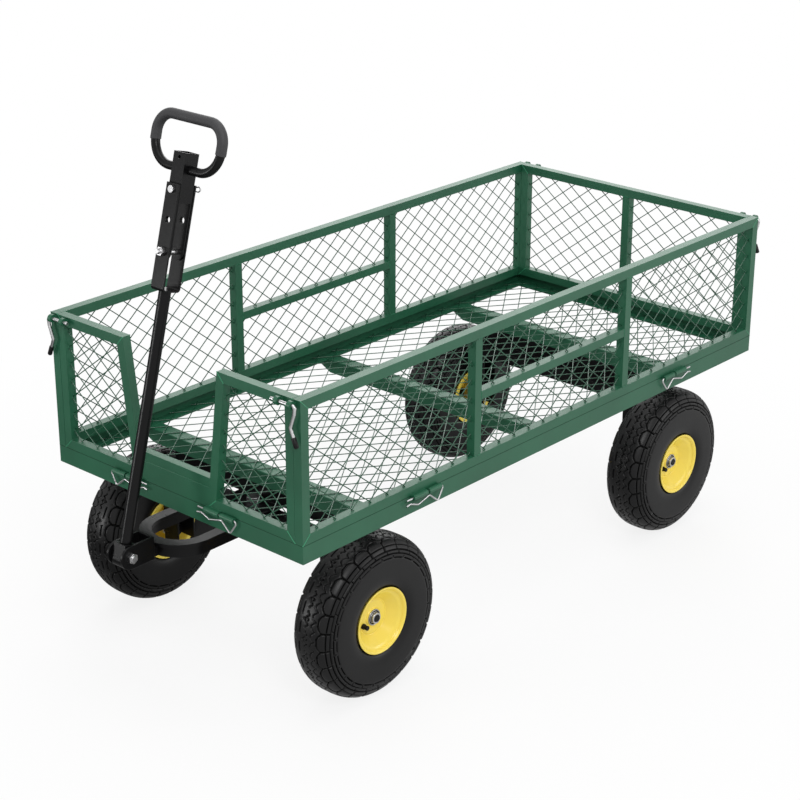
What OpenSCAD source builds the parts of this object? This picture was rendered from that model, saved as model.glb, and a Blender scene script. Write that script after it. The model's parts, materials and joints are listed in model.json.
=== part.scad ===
// Garden cart: a steel mesh tray with four folding sides on pneumatic wheels. A tongue
// steers the front axle, and its pull handle has a folding grip over a towing bracket.
// X points to the right, Y to the rear and Z up. The ground is at Z = 0, under the
// middle of the cart's length and width.

/* [Tray] */
// Length of the tray
tray_l = 1200; // [1000:20:1400]
// Width of the tray over its side panels
tray_w = 562; // [500:2:640]
// Height of the deck's wall
deck_h = 30.5; // [26:0.5:40]
// Thickness of the deck's sheet steel
deck_t = 3; // [2:0.5:4]
// Width of the flange that carries the floor
flange_w = 25; // [15:1:40]
// Height of the flange's top above the deck's lower edge
flange_z = 12; // [8:0.5:16]
// Gap between the floor mesh and the deck's wall
floor_gap = 1; // [0.5:0.5:4]

/* [Folding sides] */
// Height of the folding sides
side_h = 232; // [180:2:300]
// Thickness of the square tube
tube = 16; // [12:1:18]
// Gap between the side panels and the end panels
side_gap = 0.5; // [0.5:0.1:1.5]
// Distance between the two mid posts of a side
mid_span = 400; // [300:10:500]
// Height of the mid rail above the panel's lower edge
mid_rail_z = 110.5; // [60:0.5:140]
// Height of the mid rail
mid_rail_h = 14.5; // [12:0.5:18]
// Distance of the rear panel's post from the middle
rear_post_x = 6.5; // [0:0.5:40]

/* [Front opening] */
// Half width of the opening between the slanted posts, at the sill
slot_half = 91.3; // [80:0.1:120]
// How much each slanted post leans out, per unit of height
slot_lean = 0.126; // [0:0.002:0.2]
// Height of the sill's lower member
sill_h = 33.5; // [20:0.5:50]
// How far the sill's upper member is set back from the panel's faces
sill_inset = 1; // [0.5:0.5:3]

/* [Mesh] */
// Thickness of the mesh wire
wire = 1.7; // [1.6:0.1:2.4]
// Diamond length of the side mesh
side_pitch_u = 38.8; // [30:0.2:50]
// Diamond height of the side mesh
side_pitch_v = 31.4; // [24:0.2:40]
// Diamond width of the rear mesh
rear_pitch_u = 41.1; // [30:0.1:50]
// Diamond height of the rear mesh
rear_pitch_v = 31.7; // [24:0.1:40]
// Diamond width of the front mesh
front_pitch_u = 38.5; // [30:0.1:50]
// Diamond height of the front mesh
front_pitch_v = 29; // [24:0.1:40]
// Diamond width of the floor mesh
floor_pitch_u = 36.2; // [30:0.2:50]
// Diamond length of the floor mesh
floor_pitch_v = 50.6; // [40:0.2:60]
// Height of a crossing of the side mesh above the lower rail
side_first = 18.9; // [0:0.1:31]
// Height of a crossing of the rear mesh above the lower rail
rear_first = 17.8; // [0:0.1:31]
// Height of a crossing of the front mesh above the lower rail
front_first = 1.4; // [0:0.1:29]

/* [Hinges] */
// Distance of a hinge's axis from the face of the deck
hinge_out = 5; // [5:0.1:7]
// Distance of a hinge's axis below the top of the deck's wall
hinge_drop = 2.5; // [2:0.1:3]
// Radius of a hinge barrel
barrel_r = 4.5; // [4:0.1:4.6]
// Length of the deck's barrel
deck_barrel_l = 29; // [20:1:34]
// Length of the panel's barrel
panel_barrel_l = 32; // [20:1:36]
// Distance from the wire's bend to the deck's barrel
barrel_start = 8; // [7:0.5:12]
// Gap between the two barrels of a hinge
barrel_gap = 4; // [1:0.5:6]
// Depth of the deck barrel's seat below the hinge's axis
barrel_seat = 3; // [2:0.5:4]
// Radius of the hinge wire
pin_r = 1.5; // [1.2:0.1:2]
// Length of the hinge wire's straight leg
pin_l = 88; // [80:1:100]
// Radius of the hinge wire's bends
wire_bend = 4; // [3:0.5:4.5]
// Angle at which the hinge wire's return leg leans out
wire_lean = 4; // [3:0.5:8]
// Distance of the end hinges' bends from the middle of the cart
end_hinge_x = 147; // [130:1:200]
// Distance of the front side hinge's bend from the tray's front
side_hinge_y = 312; // [200:1:420]
// Distance of the rear side hinge's bend from the tray's rear
side_hinge_rear = 294; // [200:1:420]

/* [Corner latches] */
// Radius of the latch rod
latch_r = 2.75; // [2.2:0.05:3]
// Distance of the latch rod from the panel's face
latch_out = 8; // [7.5:0.1:9]
// Distance of the latch rod below the panel's top
latch_drop = 6.5; // [6:0.5:12]
// Radius of the eyes that hold the latch rod
eye_r = 6.5; // [5:0.1:6.5]
// Width of an eye
eye_w = 7; // [5:0.5:7]
// Height of the web under an eye
eye_web = 6; // [4:0.5:8]
// Distance of the end panel's eye from the panel's edge
eye_in = 26; // [20:1:60]
// Gap between the side panel's eye and the bend of the latch rod
side_eye_gap = 0.15; // [0.1:0.05:0.5]
// How far the latch rod reaches past the end panel's eye
latch_past = 9.5; // [4:0.5:14]
// Distance of the latch lever from the tray's side
lever_in = 3.5; // [1:0.1:3.5]
// Radius of the lever's bends
lever_bend = 4.5; // [3.5:0.1:4.5]
// Length of the lever's dipped tip
tip_l = 12; // [8:0.5:16]
// Thickness of the dip on the lever's tip
tip_wall = 0.75; // [0.5:0.05:1.5]

/* [Wheels] */
// Radius of the tyre
tyre_r = 135.6; // [120:0.2:150]
// Width of the tyre
tyre_w = 81; // [70:1:84]
// Distance between the middles of the left and right wheels
track = 494.6; // [480:0.2:560]
// Distance between the front and rear axles
wheelbase = 808.5; // [600:0.5:900]
// Distance of the front axle from the tray's front
front_axle_y = 169; // [150:1:220]
// Height of the deck's lower edge above the axles
axle_drop = 160.1; // [155:0.1:190]
// Radius of the rim's flange
rim_r = 56.2; // [52:0.1:60]
// Thickness of the rim's sheet steel
rim_t = 2.5; // [2:0.1:3]
// Radius of the axle
axle_r = 8; // [7:0.1:9]
// Radius of the hub bearing
bearing_r = 13.4; // [12.5:0.1:14]
// Number of tread blocks around each shoulder
lugs = 26; // [18:1:32]
// Depth of the tread
tread = 5; // [3:0.5:6]
// Gap between two tread blocks
lug_gap = 4; // [3:0.5:6]
// Width of the groove along the inner ends of the tread blocks
groove_w = 3; // [2:0.5:5]
// Distance of that groove from the tyre's middle
groove_u = 17; // [14:0.5:20]
// Depth of the rim's flange
flange_d = 6; // [5:0.5:8]
// Distance of the rim flange's face from the wheel's middle
flange_half = 38.9; // [36:0.1:40]
// Distance of the bead seat's inner end from the wheel's middle
bead_in = 22; // [18:0.5:26]
// Depth of the rim's well
well_d = 6; // [4:0.5:8]
// Radius of the flat middle of the rim's disc
dish_r = 30; // [26:0.5:32]
// Distance of the disc's face from the wheel's middle
dish_u = 17; // [14:0.5:20]
// Width of a hub bearing
bearing_w = 10; // [8:0.5:12]
// Thickness of a bearing's races
race = 1.6; // [1:0.1:2]
// How far a bearing's seal is set back
seal_d = 1; // [0.5:0.1:2]
// Wall of the hub
hub_wall = 3; // [2:0.5:4]
// Gap between the axle and the hub's bore
hub_gap = 2; // [1:0.5:3]
// Reach of the hub towards the cart
hub_in = 35; // [30:0.5:36]
// Reach of the hub away from the cart
hub_out = 21; // [19:0.5:24]
// How far the inner bearing is set into the hub
bearing_set = 1; // [0:0.5:3]
// How far the outer bearing stands out of the hub
bearing_past = 2; // [0:0.5:3]
// Radius of the axle's threaded end
spigot_r = 6; // [5:0.5:6.5]
// Radius of the axle's hexagon head
axle_head_r = 13; // [11:0.5:15]
// Height of the axle's head
axle_head_h = 8; // [6:0.5:10]
// Length of the nut outside the hub
nut_l = 5; // [4:0.5:8]
// Wall of that nut
nut_wall = 3; // [2:0.5:4]
// Wall of the spacer between the hub and its leg
spacer_wall = 3; // [2:0.5:4]
// Radius of the valve's boot
valve_r = 4.6; // [4:0.1:5]
// Height of the valve's boot
valve_boot_h = 4; // [2:0.5:6]
// Radius of the valve's cap
valve_cap_r = 3.8; // [3:0.1:4]
// Height of the valve's cap
valve_cap_h = 7; // [5:0.5:12]

/* [Undercarriage] */
// Width of a deck cross member
cross_w = 27; // [22:1:34]
// Height of a deck cross member
cross_h = 26; // [20:1:32]
// Height of the bolsters under the deck
bolster_h = 28; // [22:1:34]
// Depth of the front bolster, front to rear
front_bolster_w = 20; // [16:1:20]
// Half width of the undercarriage
carrier_x = 203; // [180:1:204]
// Depth of the steering beam, front to rear
beam_w = 38; // [30:1:44]
// Height of the steering beam
beam_h = 20; // [16:1:28]
// Thickness of the undercarriage's sheet steel
carrier_t = 3; // [2.5:0.5:4]
// Width of an axle leg
leg_w = 35; // [25:1:50]
// Radius of the turntable plates
turn_r = 49; // [44:1:54]
// Thickness of a turntable plate
turn_t = 5; // [4:0.5:6]
// Radius of the kingpin
kingpin_r = 8; // [6:0.5:10]
// Radius of the kingpin's hexagon head
king_head_r = 12; // [11:0.5:15]
// Height of the kingpin's head
king_head_h = 8; // [6:0.5:8]
// How far the front cross member is behind the front axle
front_member_off = 6; // [4:0.5:10]
// How far the middle cross member is behind the cart's middle
mid_member_off = 10; // [0:1:40]
// How far the rear cross member is behind the rear axle
rear_member_off = 12.5; // [8:0.5:14]
// How far an axle leg reaches below its axle
leg_end = 12; // [10:1:20]

/* [Tongue] */
// Half width of the tongue's plate
tongue_half = 65; // [60:1:75]
// Width of the tongue's plate
tongue_w = 20; // [16:1:24]
// Thickness of the tongue's plate
tongue_t = 6; // [4:0.5:8]
// Height of the bar under the plate
tongue_bar_h = 13; // [10:0.5:14]
// Reach of the tongue in front of the tray
tongue_reach = 56; // [50:1:70]
// Depth of the tongue's plate top below the deck's lower edge
tongue_drop = 32; // [31:0.5:36]
// How far the bar is set in from the plate's edge
tongue_inset = 5; // [3:0.5:6]
// Width of the bar under the plate
tongue_bar_w = 10; // [8:0.5:14]
// Gap between the bar and the turntable's plate
tongue_bar_gap = 1; // [0.5:0.5:3]
// Gap between the tongue's plate and the turntable
tongue_gap = 2; // [1:0.5:4]
// Width of the neck between the tongue and its clevis
neck_w = 24; // [20:1:28]
// Reach of the neck in front of the tongue
neck_l = 5; // [4:0.5:8]
// Radius of the clevis's ears
ear_r = 19.5; // [17:0.5:20]
// Thickness of an ear
ear_t = 4; // [3:0.5:5]
// Half of the gap between the ears
ear_x = 14; // [13:0.5:18]

/* [Pull handle] */
// Distance of the handle's bolt in front of the tray
handle_y = 108; // [100:1:130]
// Distance of the handle's bolt below the deck's lower edge
handle_z = 37; // [30:1:44]
// Angle at which the handle leans back
handle_lean = 15; // [0:1:17]
// Radius of the handle's rod
rod_r = 9.5; // [8:0.5:11]
// Length of the rod from its bolt to the towing bracket
rod_l = 415; // [350:5:500]
// Radius of the handle's bolt
handle_bolt_r = 5; // [4:0.5:6]
// Radius of the handle bolt's head
handle_head_r = 8.75; // [8:0.25:10]
// Height of the handle bolt's head
handle_head_h = 5.5; // [4:0.5:7]
// Half depth of the handle's foot, front to rear
foot_half = 12.5; // [11:0.5:14]
// Height of the foot's top above its bolt
foot_top = 19; // [16:0.5:24]
// Depth of the foot's round end below its bolt
foot_drop = 7.5; // [6:0.5:8]
// Gap between the foot and an ear
foot_gap = 0.4; // [0.3:0.1:1]

/* [Towing bracket] */
// Height of the bracket
bracket_l = 163; // [155:1:190]
// Width of the bracket's plates
bracket_w = 27; // [26:0.2:34]
// Depth of the bracket over its two plates
bracket_d = 35.4; // [33:0.2:38]
// Thickness of the bracket's plates
bracket_t = 3; // [2:0.5:4]
// Radius of the bracket's bends
bracket_bend = 6; // [5:0.5:8]
// Distance of the grip's pivot above the bracket's foot
pivot_s = 60; // [50:1:70]
// Distance of the towing hole above the bracket's foot
tow_s = 108; // [90:1:120]
// Distance of the grip's lock pin above the bracket's foot
lock_s = 154; // [140:1:156]
// Radius of the towing hole
tow_r = 5.25; // [4:0.25:6.5]
// Radius of the grip's pivot bolt
pivot_r = 4; // [3:0.5:5]
// Radius of the pivot bolt's head
pivot_head_r = 7.4; // [6.5:0.1:9]
// Height of the pivot bolt's head
pivot_head_h = 5.5; // [4:0.5:7]
// Height of the pivot bolt's nut
pivot_nut_h = 7; // [5:0.5:8]
// How far the pivot bolt reaches past its nut
pivot_past = 5; // [2:0.5:8]
// Radius of the grip's lock pin
lock_r = 4; // [3:0.5:5]
// Radius of the lock pin's head
lock_head_r = 5.5; // [5.5:0.1:9]
// Height of the lock pin's head
lock_head_h = 4; // [2:0.5:6]
// Reach of the lock pin behind the bracket's middle
lock_tail = 26; // [25:0.5:32]
// Distance of the clip behind the bracket's middle
clip_y = 21; // [20:0.1:24]
// Radius of the clip's wire
clip_r = 1; // [0.8:0.1:1.2]
// Radius of the clip's bends
clip_bend = 2; // [1.5:0.1:2]

/* [Grip] */
// Width of the grip's square tube
grip_w = 26; // [24:1:29]
// Depth of the grip's square tube
grip_d = 26.8; // [24:0.2:26.8]
// Wall of the grip's square tube
grip_t = 2; // [1.5:0.5:3]
// Length of the square tube above the pivot
grip_l = 150; // [140:1:180]
// Height of the loop's lower bar above the pivot
loop_s = 125; // [115:1:140]
// Width of the loop between its tube's centres
loop_w = 142; // [120:2:170]
// Height of the loop between its tube's centres
loop_h = 76; // [70:1:100]
// Radius of the loop's tube
loop_r = 7; // [6:0.25:9]
// Radius of the loop's lower bends
bend_low = 38; // [30:1:44]
// Radius of the loop's upper bends
bend_high = 30; // [20:1:34]
// Thickness of the foam sleeve
foam_t = 1.25; // [1:0.25:3]
// How much of the loop's lower bends the sleeve covers, in degrees
sleeve_start = 8; // [5:1:60]
// Height above the pivot up to which the square tube's sides are cut away
cheek_top = 75; // [60:1:90]
// Radius of the small hole over the lock pin
drain_r = 3; // [2:0.5:4]
// Height of the small hole above the pivot
drain_s = 142; // [139:0.5:146]

/* [Hidden] */
FRONT = 0;
REAR = 1;
LEFT = 2;
RIGHT = 3;
NEAR = 0;
FAR = 1;
$fn = 48;
fit = 0.08;
seat = 0.3;
green = "#1f5a41";
black = "#1c1c1e";
yellow = "#f2d13c";
zinc = "#c9cccd";
half_w = tray_w / 2;
panel_z = deck_h;
panel_top = deck_h + side_h;
side_x = half_w - tube;
end_x = side_x - side_gap;
deck_z = tyre_r + axle_drop;
axle_z = -axle_drop;
rear_axle_y = front_axle_y + wheelbase;
wheel_x = track / 2;
hinge_z = deck_h - hinge_drop;
latch_z = panel_top - latch_drop;
slot_z = panel_z + sill_h + tube;
slanted_w = tube * sqrt(1 + slot_lean * slot_lean);
cross_y = [front_axle_y + front_member_off, tray_l / 2 + mid_member_off,
           rear_axle_y + rear_member_off];
bolster_z = flange_z - cross_h;
king_top = bolster_z - bolster_h;
king_bottom = king_top - turn_t;
beam_top = king_bottom - seat;
beam_z = beam_top - turn_t;
front_end = handle_y + ear_r;
rear_end = latch_out + eye_r;
middle_y = (tray_l + rear_end - front_end) / 2;
rail_z = panel_z + tube;
top_z = panel_top - tube;
end_eye_x = end_x - eye_in;
bead_r = rim_r - flange_d;
well_r = bead_r - well_d;
tongue_plate_z = -tongue_drop - tongue_t;
tongue_plate_back = front_axle_y - turn_r - tongue_gap;
tongue_bar_top = king_top - tongue_bar_gap;
neck_front = tongue_reach + neck_l;
foot_x = ear_x - foot_gap;

// A cut reaches this far past the faces that it opens
over = 1;

// How far a wire's straight runs reach into its bends, and how much the bends swell
bend_lap = 0.3;
bend_swell = 0.05;

// The return leg of a hinge's wire: distance along the pin and up from its axis
zigzag = [[16, -23], [35, -7], [62, -14], [80, -7.5], [89, -9]];

// The latch lever from its bend: distance along the tray's front and up from the rod
lever = [[0, 0], [-1.5, -13], [-9.5, -36], [1.5, -62]];

// The side panel's eye ends where the latch rod starts to bend
side_eye_x = half_w - lever_in - bend_cut(concat([[-1, 0]], lever), 1, lever_bend)
    - side_eye_gap - eye_w;

// The clip's wire: its straight leg through the pin, then back past the pin's outside
clip_path = [[-9, 0], [16, 0], [20, 3.8], [16, 7.8], [7.5, 5.4], [4, 6.6], [-4, 6.6],
             [-7, 5.4], [-11, 7.8]];

// Half of the tyre's outline, from the bead to the crown: radius and distance from the middle
tyre_half = [
    [bead_r + seat, bead_in], [bead_r + seat, flange_half - rim_t - seat],
    [rim_r + seat, flange_half - rim_t - seat], [rim_r + 4, flange_half - 0.4],
    [rim_r + 16, tyre_w / 2 - 0.4], [rim_r + 32, tyre_w / 2],
    [tyre_r - 30, tyre_w / 2 - 1.2], [tyre_r - 14, tyre_w / 2 - 4.5],
    [tyre_r - 6, tyre_w / 2 - 9], [tyre_r - 2, tyre_w / 2 - 17], [tyre_r, 12]
];

// Where the valve stands on the rim's disc
valve_at = [8, -23];

// ---------- helpers ----------

// The tray's own frame: x = 0 in the middle, y = 0 at its front face, z = 0 at its lower edge
module on_cart() {
    translate([0, -middle_y, deck_z]) children();
}

// A block given by its ranges along the three axes
module block(x, y, z) {
    translate([x[0], y[0], z[0]]) cube([x[1] - x[0], y[1] - y[0], z[1] - z[0]]);
}

// A round bar between two points
module bar(a, b, r) {
    d = b - a;
    translate(a)
        rotate([0, acos(d.z / norm(d)), atan2(d.y, d.x)])
            cylinder(h = norm(d), r = r);
}

// The heading from point i of a path to the next one
function heading(path, i) = atan2(path[i + 1].y - path[i].y, path[i + 1].x - path[i].x);

// How far a path turns at its point i, from -180 to 180
function turn(path, i) = (heading(path, i) - heading(path, i - 1) + 540) % 360 - 180;

// The length that a bend of radius bend takes from each side of point i
function bend_cut(path, i, bend) =
    i == 0 || i == len(path) - 1 ? 0 : bend * tan(abs(turn(path, i)) / 2);

// A wire of radius r through points of the XY plane, with a round bend at each inner point
module bent_wire(path, bend, r) {
    for (i = [0 : len(path) - 2]) {
        step = [cos(heading(path, i)), sin(heading(path, i))];
        a = path[i] + (i == 0 ? 0 : bend_cut(path, i, bend) - bend_lap) * step;
        b = path[i + 1] - (i == len(path) - 2 ? 0 : bend_cut(path, i + 1, bend) - bend_lap) * step;
        bar([a.x, a.y, 0], [b.x, b.y, 0], r);
    }
    for (i = [1 : len(path) - 2]) {
        left = turn(path, i) > 0;
        from = heading(path, left ? i - 1 : i) + (left ? -90 : 90);
        before = heading(path, i - 1);
        start = path[i] - bend_cut(path, i, bend) * [cos(before), sin(before)];
        inward = before + (left ? 90 : -90);
        centre = start + bend * [cos(inward), sin(inward)];
        translate([centre.x, centre.y, 0]) rotate(from)
            rotate_extrude(angle = abs(turn(path, i)))
                translate([bend, 0]) circle(r = r + bend_swell);
    }
}

// Its children on the left and the right
module both_sides() {
    for (m = [0, 1]) mirror([m, 0, 0]) children();
}

// Points of an arc, from angle a to angle b
function arc(r, a, b, n) = [for (i = [0 : n]) r * [cos(a + (b - a) * i / n), sin(a + (b - a) * i / n)]];

// The centre of the slanted post at height z, measured sideways
function slant(z) = slot_half + slot_lean * (z - slot_z);

// ---------- mesh ----------

// Parallel flat bars at the slope of one set of wires, through a crossing at the origin
module wire_set(pu, pv, reach, slope) {
    count = ceil(reach / pu);
    angle = slope * atan2(pv, pu);
    for (k = [-count : count])
        translate([k * pu, 0]) rotate(angle) square([2 * reach, wire], center = true);
}

// Two crossing layers of wires cut to the window given as the child; at is one crossing
module mesh_sheet(pu, pv, at, reach) {
    for (layer = [0, 1])
        translate([0, 0, (layer - 1) * wire]) linear_extrude(wire)
            intersection() {
                children();
                translate(at) wire_set(pu, pv, reach, 1 - 2 * layer);
            }
}

// The mesh of a standing end panel, in the middle of the tube's thickness
module end_mesh(y, pu, pv, first, reach) {
    translate([0, y + tube / 2, 0]) rotate([90, 0, 0])
        mesh_sheet(pu, pv, [0, panel_z + tube + first], reach) children();
}

// A window given by its ranges
module window(u, v) {
    translate([u[0], v[0]]) square([u[1] - u[0], v[1] - v[0]]);
}

// ---------- hinges ----------

// Puts a hinge on the deck: x runs along the pin from its bend, y points outward
module at_hinge(side, end) {
    if (side == FRONT || side == REAR)
        translate([(end == FAR ? 1 : -1) * end_hinge_x, side == REAR ? tray_l : 0, 0])
            mirror([end == FAR ? 1 : 0, 0, 0])
                mirror([0, side == FRONT ? 1 : 0, 0]) children();
    else
        translate([side == LEFT ? -half_w : half_w,
                   end == FAR ? tray_l - side_hinge_rear : side_hinge_y, 0])
            mirror([side == LEFT ? 1 : 0, 0, 0])
                mirror([0, end == FAR ? 1 : 0, 0]) rotate(-90) children();
}

// A barrel around the hinge's axis, from s to s + l, with its seat on the face behind it
module barrel(s, l, low, high) {
    difference() {
        union() {
            translate([s, hinge_out, hinge_z]) rotate([0, 90, 0]) cylinder(h = l, r = barrel_r);
            block([s, s + l], [0, hinge_out], [low, high]);
        }
        translate([s - over, hinge_out, hinge_z]) rotate([0, 90, 0])
            cylinder(h = l + 2 * over, r = pin_r + fit, $fn = 32);
    }
}

module deck_barrel() {
    barrel(barrel_start, deck_barrel_l, hinge_z - barrel_seat, deck_h);
}

module panel_barrel() {
    barrel(barrel_start + deck_barrel_l + barrel_gap, panel_barrel_l, deck_h, hinge_z + barrel_r);
}

module hinge_pin(side, end) color(zinc) on_cart() at_hinge(side, end)
    translate([0, hinge_out, hinge_z]) rotate([90 + wire_lean, 0, 0])
        bent_wire(concat([[pin_l, 0], [0, 0]], zigzag), wire_bend, pin_r);

// ---------- corner latches ----------

// A welded eye on the face at y = 0, from x to x + eye_w
module eye(x) {
    difference() {
        union() {
            translate([x, -latch_out, latch_z]) rotate([0, 90, 0]) cylinder(h = eye_w, r = eye_r);
            block([x, x + eye_w], [-latch_out, 0], [latch_z - eye_web / 2, latch_z + eye_web / 2]);
        }
        translate([x - over, -latch_out, latch_z]) rotate([0, 90, 0])
            cylinder(h = eye_w + 2 * over, r = latch_r + fit, $fn = 32);
    }
}

// Puts a child drawn at the front right corner at any corner
module at_corner(end, left) {
    translate([0, end == REAR ? tray_l : 0, 0])
        mirror([0, end == REAR ? 1 : 0, 0]) mirror([left ? 1 : 0, 0, 0]) children();
}

module latch(end, left) on_cart() at_corner(end, left)
    translate([half_w - lever_in, -latch_out, latch_z]) rotate([90, 0, 0]) {
        last = len(lever) - 1;
        start = end_eye_x - latch_past - half_w + lever_in;
        color(zinc) bent_wire(concat([[start, 0]], lever), lever_bend, latch_r);
        color(black) translate([lever[last].x, lever[last].y, 0])
            rotate(heading(lever, last - 1)) rotate([0, -90, 0])
                translate([0, 0, -tip_wall]) cylinder(h = tip_l, r = latch_r + tip_wall);
    }

// ---------- tray ----------

module deck_frame() color(green) on_cart() {
    difference() {
        block([-half_w, half_w], [0, tray_l], [0, deck_h]);
        block([-half_w + deck_t, half_w - deck_t], [deck_t, tray_l - deck_t],
              [flange_z, deck_h + over]);
        block([-half_w + deck_t, half_w - deck_t], [deck_t, tray_l - deck_t],
              [-over, flange_z - deck_t]);
        block([-half_w + flange_w, half_w - flange_w], [flange_w, tray_l - flange_w],
              [-over, deck_h + over]);
    }
    for (side = [FRONT : RIGHT], end = [NEAR, FAR]) at_hinge(side, end) deck_barrel();
}

// The floor's outline, set in by a distance from its edge
module floor_window(inset) {
    side = deck_t + floor_gap + inset;
    window([side - half_w, half_w - side], [side, tray_l - side]);
}

// The floor's two layers of wires, over an edge wire that lies on the flange
module deck_mesh() color(green) on_cart() {
    translate([0, 0, flange_z + wire])
        mesh_sheet(floor_pitch_u, floor_pitch_v, [0, (tray_l + floor_pitch_v) / 2],
                   (tray_l + tray_w) / 2) floor_window(0);
    translate([0, 0, flange_z]) linear_extrude(wire) difference() {
        floor_window(0);
        floor_window(wire);
    }
}

// An inverted channel across the deck, its ends under the flange
module cross_member(y) {
    difference() {
        union() {
            block([-half_w + flange_w, half_w - flange_w], [y, y + cross_w],
                  [bolster_z, flange_z]);
            block([-half_w + deck_t, half_w - deck_t], [y, y + cross_w],
                  [bolster_z, flange_z - deck_t]);
        }
        block([-half_w, half_w], [y + deck_t, y + cross_w - deck_t],
              [bolster_z - over, flange_z - deck_t]);
    }
}

module cross_members() color(green) on_cart() {
    for (y = cross_y) cross_member(y);
}

// A rectangular tube under a cross member
module bolster(y, w, x) {
    difference() {
        block([-x, x], [y, y + w], [king_top, bolster_z]);
        block([-x - over, x + over], [y + carrier_t, y + w - carrier_t],
              [king_top + carrier_t, bolster_z - carrier_t]);
    }
}

module front_bolster() color(black) on_cart() {
    bolster_y = cross_y[0] + cross_w - front_bolster_w;
    bolster(bolster_y, front_bolster_w, carrier_x);
    difference() {
        union() {
            translate([0, front_axle_y, king_bottom]) cylinder(h = turn_t, r = turn_r);
            block([-turn_r, turn_r], [front_axle_y, bolster_y + front_bolster_w],
                  [king_bottom, king_top]);
        }
        translate([0, front_axle_y, king_bottom - over])
            cylinder(h = turn_t + 2 * over, r = kingpin_r + fit);
    }
}

// A channel beam on two legs that hold an axle; y is its middle
module axle_beam(y, top) {
    half = beam_w / 2;
    difference() {
        block([-carrier_x, carrier_x], [y - half, y + half], [top - beam_h, top]);
        block([-carrier_x + carrier_t, carrier_x - carrier_t],
              [y - half + carrier_t, y + half - carrier_t],
              [top - beam_h - over, top - carrier_t]);
    }
    both_sides() difference() {
        block([carrier_x - leg_w, carrier_x], [y - half, y + half],
              [axle_z - leg_end, top - beam_h]);
        block([carrier_x - leg_w - over, carrier_x - carrier_t],
              [y - half + carrier_t, y + half - carrier_t], [axle_z - leg_end - over, top]);
        translate([carrier_x - leg_w, y, axle_z]) rotate([0, 90, 0])
            cylinder(h = leg_w + over, r = axle_r + fit);
    }
}

module rear_carrier() color(black) on_cart() {
    bolster(cross_y[2], cross_w, carrier_x);
    axle_beam(rear_axle_y, king_top);
}

// ---------- axles and wheels ----------

// Two stub axles: each a bolt through its leg, with its head inside the leg
module axle(y) {
    inner = carrier_x - carrier_t;
    both_sides() translate([inner, y, axle_z]) rotate([0, 90, 0]) {
        translate([0, 0, -axle_head_h]) cylinder(h = axle_head_h, r = axle_head_r, $fn = 6);
        cylinder(h = wheel_x + hub_out - inner, r = axle_r);
        cylinder(h = wheel_x + hub_out + nut_l + over - inner, r = spigot_r);
    }
}

module rear_axle() color(black) on_cart() axle(rear_axle_y);

module front_axle() color(black) on_cart() axle(front_axle_y);

// The nut outside each hub and the spacer between each hub and its leg
module wheel_nuts(y) {
    both_sides() {
        translate([wheel_x + hub_out, y, axle_z]) rotate([0, 90, 0]) difference() {
            cylinder(h = nut_l, r = spigot_r + nut_wall);
            translate([0, 0, -over]) cylinder(h = nut_l + 2 * over, r = spigot_r + fit);
        }
        spacer_l = wheel_x - hub_in - seat - carrier_x;
        translate([carrier_x, y, axle_z]) rotate([0, 90, 0]) difference() {
            cylinder(h = spacer_l, r = axle_r + spacer_wall);
            translate([0, 0, -over]) cylinder(h = spacer_l + 2 * over, r = axle_r + fit);
        }
    }
}

module front_wheel_nuts() color(zinc) on_cart() wheel_nuts(front_axle_y);

module rear_wheel_nuts() color(zinc) on_cart() wheel_nuts(rear_axle_y);

// Puts a wheel part in place: its z axis points out of the cart
module at_wheel(y, left) {
    mirror([left ? 1 : 0, 0, 0]) translate([wheel_x, y, axle_z]) rotate([0, 90, 0]) children();
}

// A ring from height z to z + h, between two radii
module ring(z, h, outer, inner) {
    translate([0, 0, z]) difference() {
        cylinder(h = h, r = outer);
        translate([0, 0, -over]) cylinder(h = h + 2 * over, r = inner);
    }
}

// A tyre with a groove beside each shoulder and gaps between the shoulder's blocks
module tyre(y, left) color(black) on_cart() at_wheel(y, left) difference() {
    rotate_extrude($fn = 96) polygon(concat(tyre_half,
        [for (i = [len(tyre_half) - 1 : -1 : 0]) [tyre_half[i].x, -tyre_half[i].y]]));
    for (side = [-1, 1]) {
        ring(side * groove_u - groove_w / 2, groove_w, tyre_r + over, tyre_r - tread, $fn = 96);
        for (i = [0 : lugs - 1]) rotate((i + side / 4) * 360 / lugs)
            block([tyre_r - tread, tyre_r + over], [-lug_gap / 2, lug_gap / 2],
                  side > 0 ? [groove_u, tyre_w / 2 + over] : [-tyre_w / 2 - over, -groove_u]);
    }
}

// The rim is one revolved section: the tyre's side of the barrel, then back along the dish
module rim(y, left) color(yellow) on_cart() at_wheel(y, left) {
    well_in = bead_in - well_d;
    rotate_extrude($fn = 96) polygon([
        [rim_r, flange_half], [rim_r, flange_half - rim_t], [bead_r, flange_half - rim_t],
        [bead_r, bead_in], [well_r, well_in], [well_r, -well_in],
        [bead_r, -bead_in], [bead_r, rim_t - flange_half], [rim_r, rim_t - flange_half],
        [rim_r, -flange_half], [bead_r - rim_t, -flange_half],
        [bead_r - rim_t, -bead_in - 1], [well_r - rim_t, -well_in - 1],
        [well_r - rim_t, well_in + 1], [dish_r, dish_u - rim_t],
        [bearing_r + 1, dish_u - rim_t], [bearing_r + 1, dish_u], [dish_r, dish_u],
        [bead_r - 3 - rim_t, bead_in + 10], [bead_r - rim_t, flange_half]
    ]);
    difference() {
        ring(-hub_in, hub_in + hub_out - bearing_past, bearing_r + hub_wall, axle_r + hub_gap);
        translate([0, 0, -hub_in - over])
            cylinder(h = bearing_set + bearing_w + over, r = bearing_r);
        translate([0, 0, hub_out - bearing_w]) cylinder(h = bearing_w + over, r = bearing_r);
    }
}

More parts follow.
